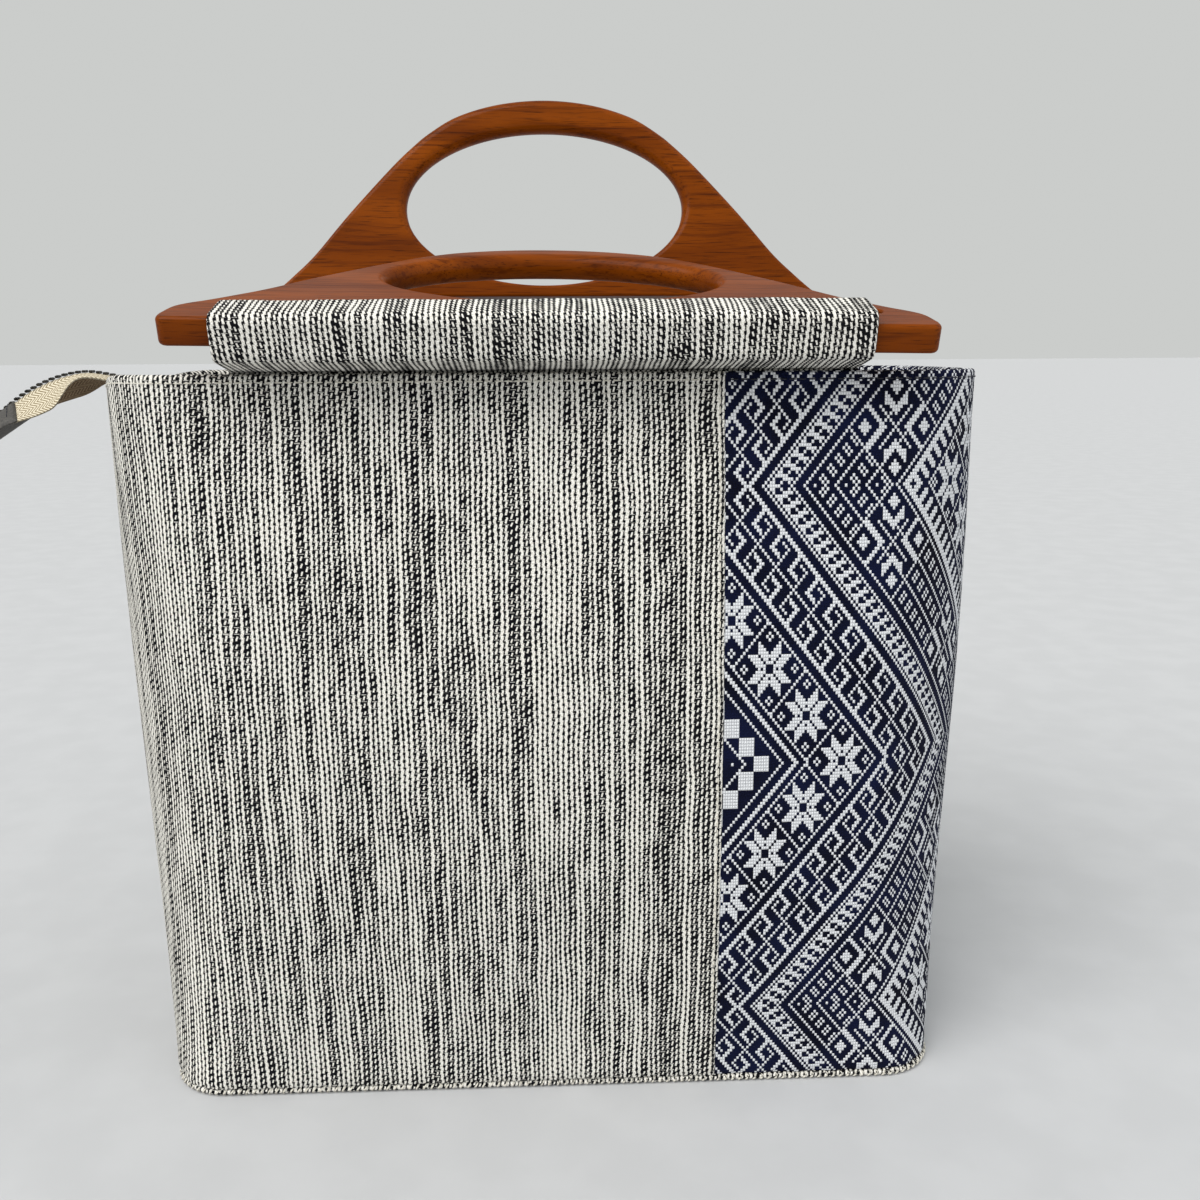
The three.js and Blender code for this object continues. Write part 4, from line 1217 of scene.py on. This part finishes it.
make_weave_panel()
make_pattern_panel()
make_topstitch()
make_base()
make_handle("front_board", "front_handle", FRONT)
make_handle("rear_board", "rear_handle", REAR)
make_sleeve("front_loop", "front_sleeve", FRONT, -1)
make_sleeve("rear_loop", "rear_sleeve", REAR, 1)
make_closure("closure_front", "top_panel_front", -1)
make_closure("closure_rear", "top_panel_rear", 1)
make_tape("tape_front", "zip_tape_front", -1)
make_tape("tape_rear", "zip_tape_rear", 1)
make_teeth()
make_slider()
make_tab()


# Stage, light and camera


def make_floor():
    """A pale floor that reaches beyond the view, just under the bag."""
    size = 30000.0
    under_bag = -0.2
    mesh = bpy.data.meshes.new("floor")
    corners = [(x * size * MM, y * size * MM, under_bag * MM)
               for x, y in ((-1, -1), (1, -1), (1, 1), (-1, 1))]
    mesh.from_pydata(corners, [], [(0, 1, 2, 3)])
    mesh.materials.append(FLOOR)
    floor = bpy.data.objects.new("floor", mesh)
    bpy.context.scene.collection.objects.link(floor)


def add_sun(name, toward, energy, angle, colour):
    """A far, soft light. toward points from the bag to the light."""
    light = bpy.data.lights.new(name, "SUN")
    light.energy = energy
    light.angle = math.radians(angle)
    light.color = colour
    lamp = bpy.data.objects.new(name, light)
    lamp.rotation_euler = Vector(toward).to_track_quat("Z", "Y").to_euler()
    bpy.context.scene.collection.objects.link(lamp)


make_floor()
bpy.context.scene.view_settings.view_transform = "Standard"
world = bpy.data.worlds.new("studio")
world.use_nodes = True
studio = world.node_tree
direction = studio.nodes.new("ShaderNodeTexCoord")
parts_of = studio.nodes.new("ShaderNodeSeparateXYZ")
studio.links.new(direction.outputs["Generated"], parts_of.inputs[0])
toward_back = Field(studio, parts_of.outputs[1])
upwards = Field(studio, parts_of.outputs[2])
# The pale room is brighter behind and above the bag than on the camera's side
glow = 0.6 + (toward_back + upwards * 0.6).step(-0.35, 0.4) * 0.2
studio.nodes["Background"].inputs["Color"].default_value = srgb(224, 226, 224)
studio.links.new(glow.socket, studio.nodes["Background"].inputs["Strength"])
bpy.context.scene.world = world
add_sun("window", (-0.55, -0.6, 0.9), 2.45, 50, (1.0, 0.99, 0.97))
add_sun("fill", (0.9, -0.5, 0.5), 0.7, 80, (0.95, 0.97, 1.0))

CAMERA_PLACE = (0.0, -0.445, 0.2565)
YAW, PITCH, ROLL = (math.radians(a) for a in (2.4, 11.7, 0.35))
forward = Vector((math.sin(YAW) * math.cos(PITCH), math.cos(YAW) * math.cos(PITCH), -math.sin(PITCH)))
level = Vector((math.cos(YAW), -math.sin(YAW), 0))
above = level.cross(forward)
right = level * math.cos(ROLL) - above * math.sin(ROLL)
upright = level * math.sin(ROLL) + above * math.cos(ROLL)
lens = bpy.data.cameras.new("camera")
lens.sensor_width = 36.0
lens.lens = 36.09
camera = bpy.data.objects.new("camera", lens)
facing = Matrix((right, upright, -forward)).transposed().to_4x4()
camera.matrix_world = Matrix.Translation(CAMERA_PLACE) @ facing
bpy.context.scene.collection.objects.link(camera)
bpy.context.scene.camera = camera
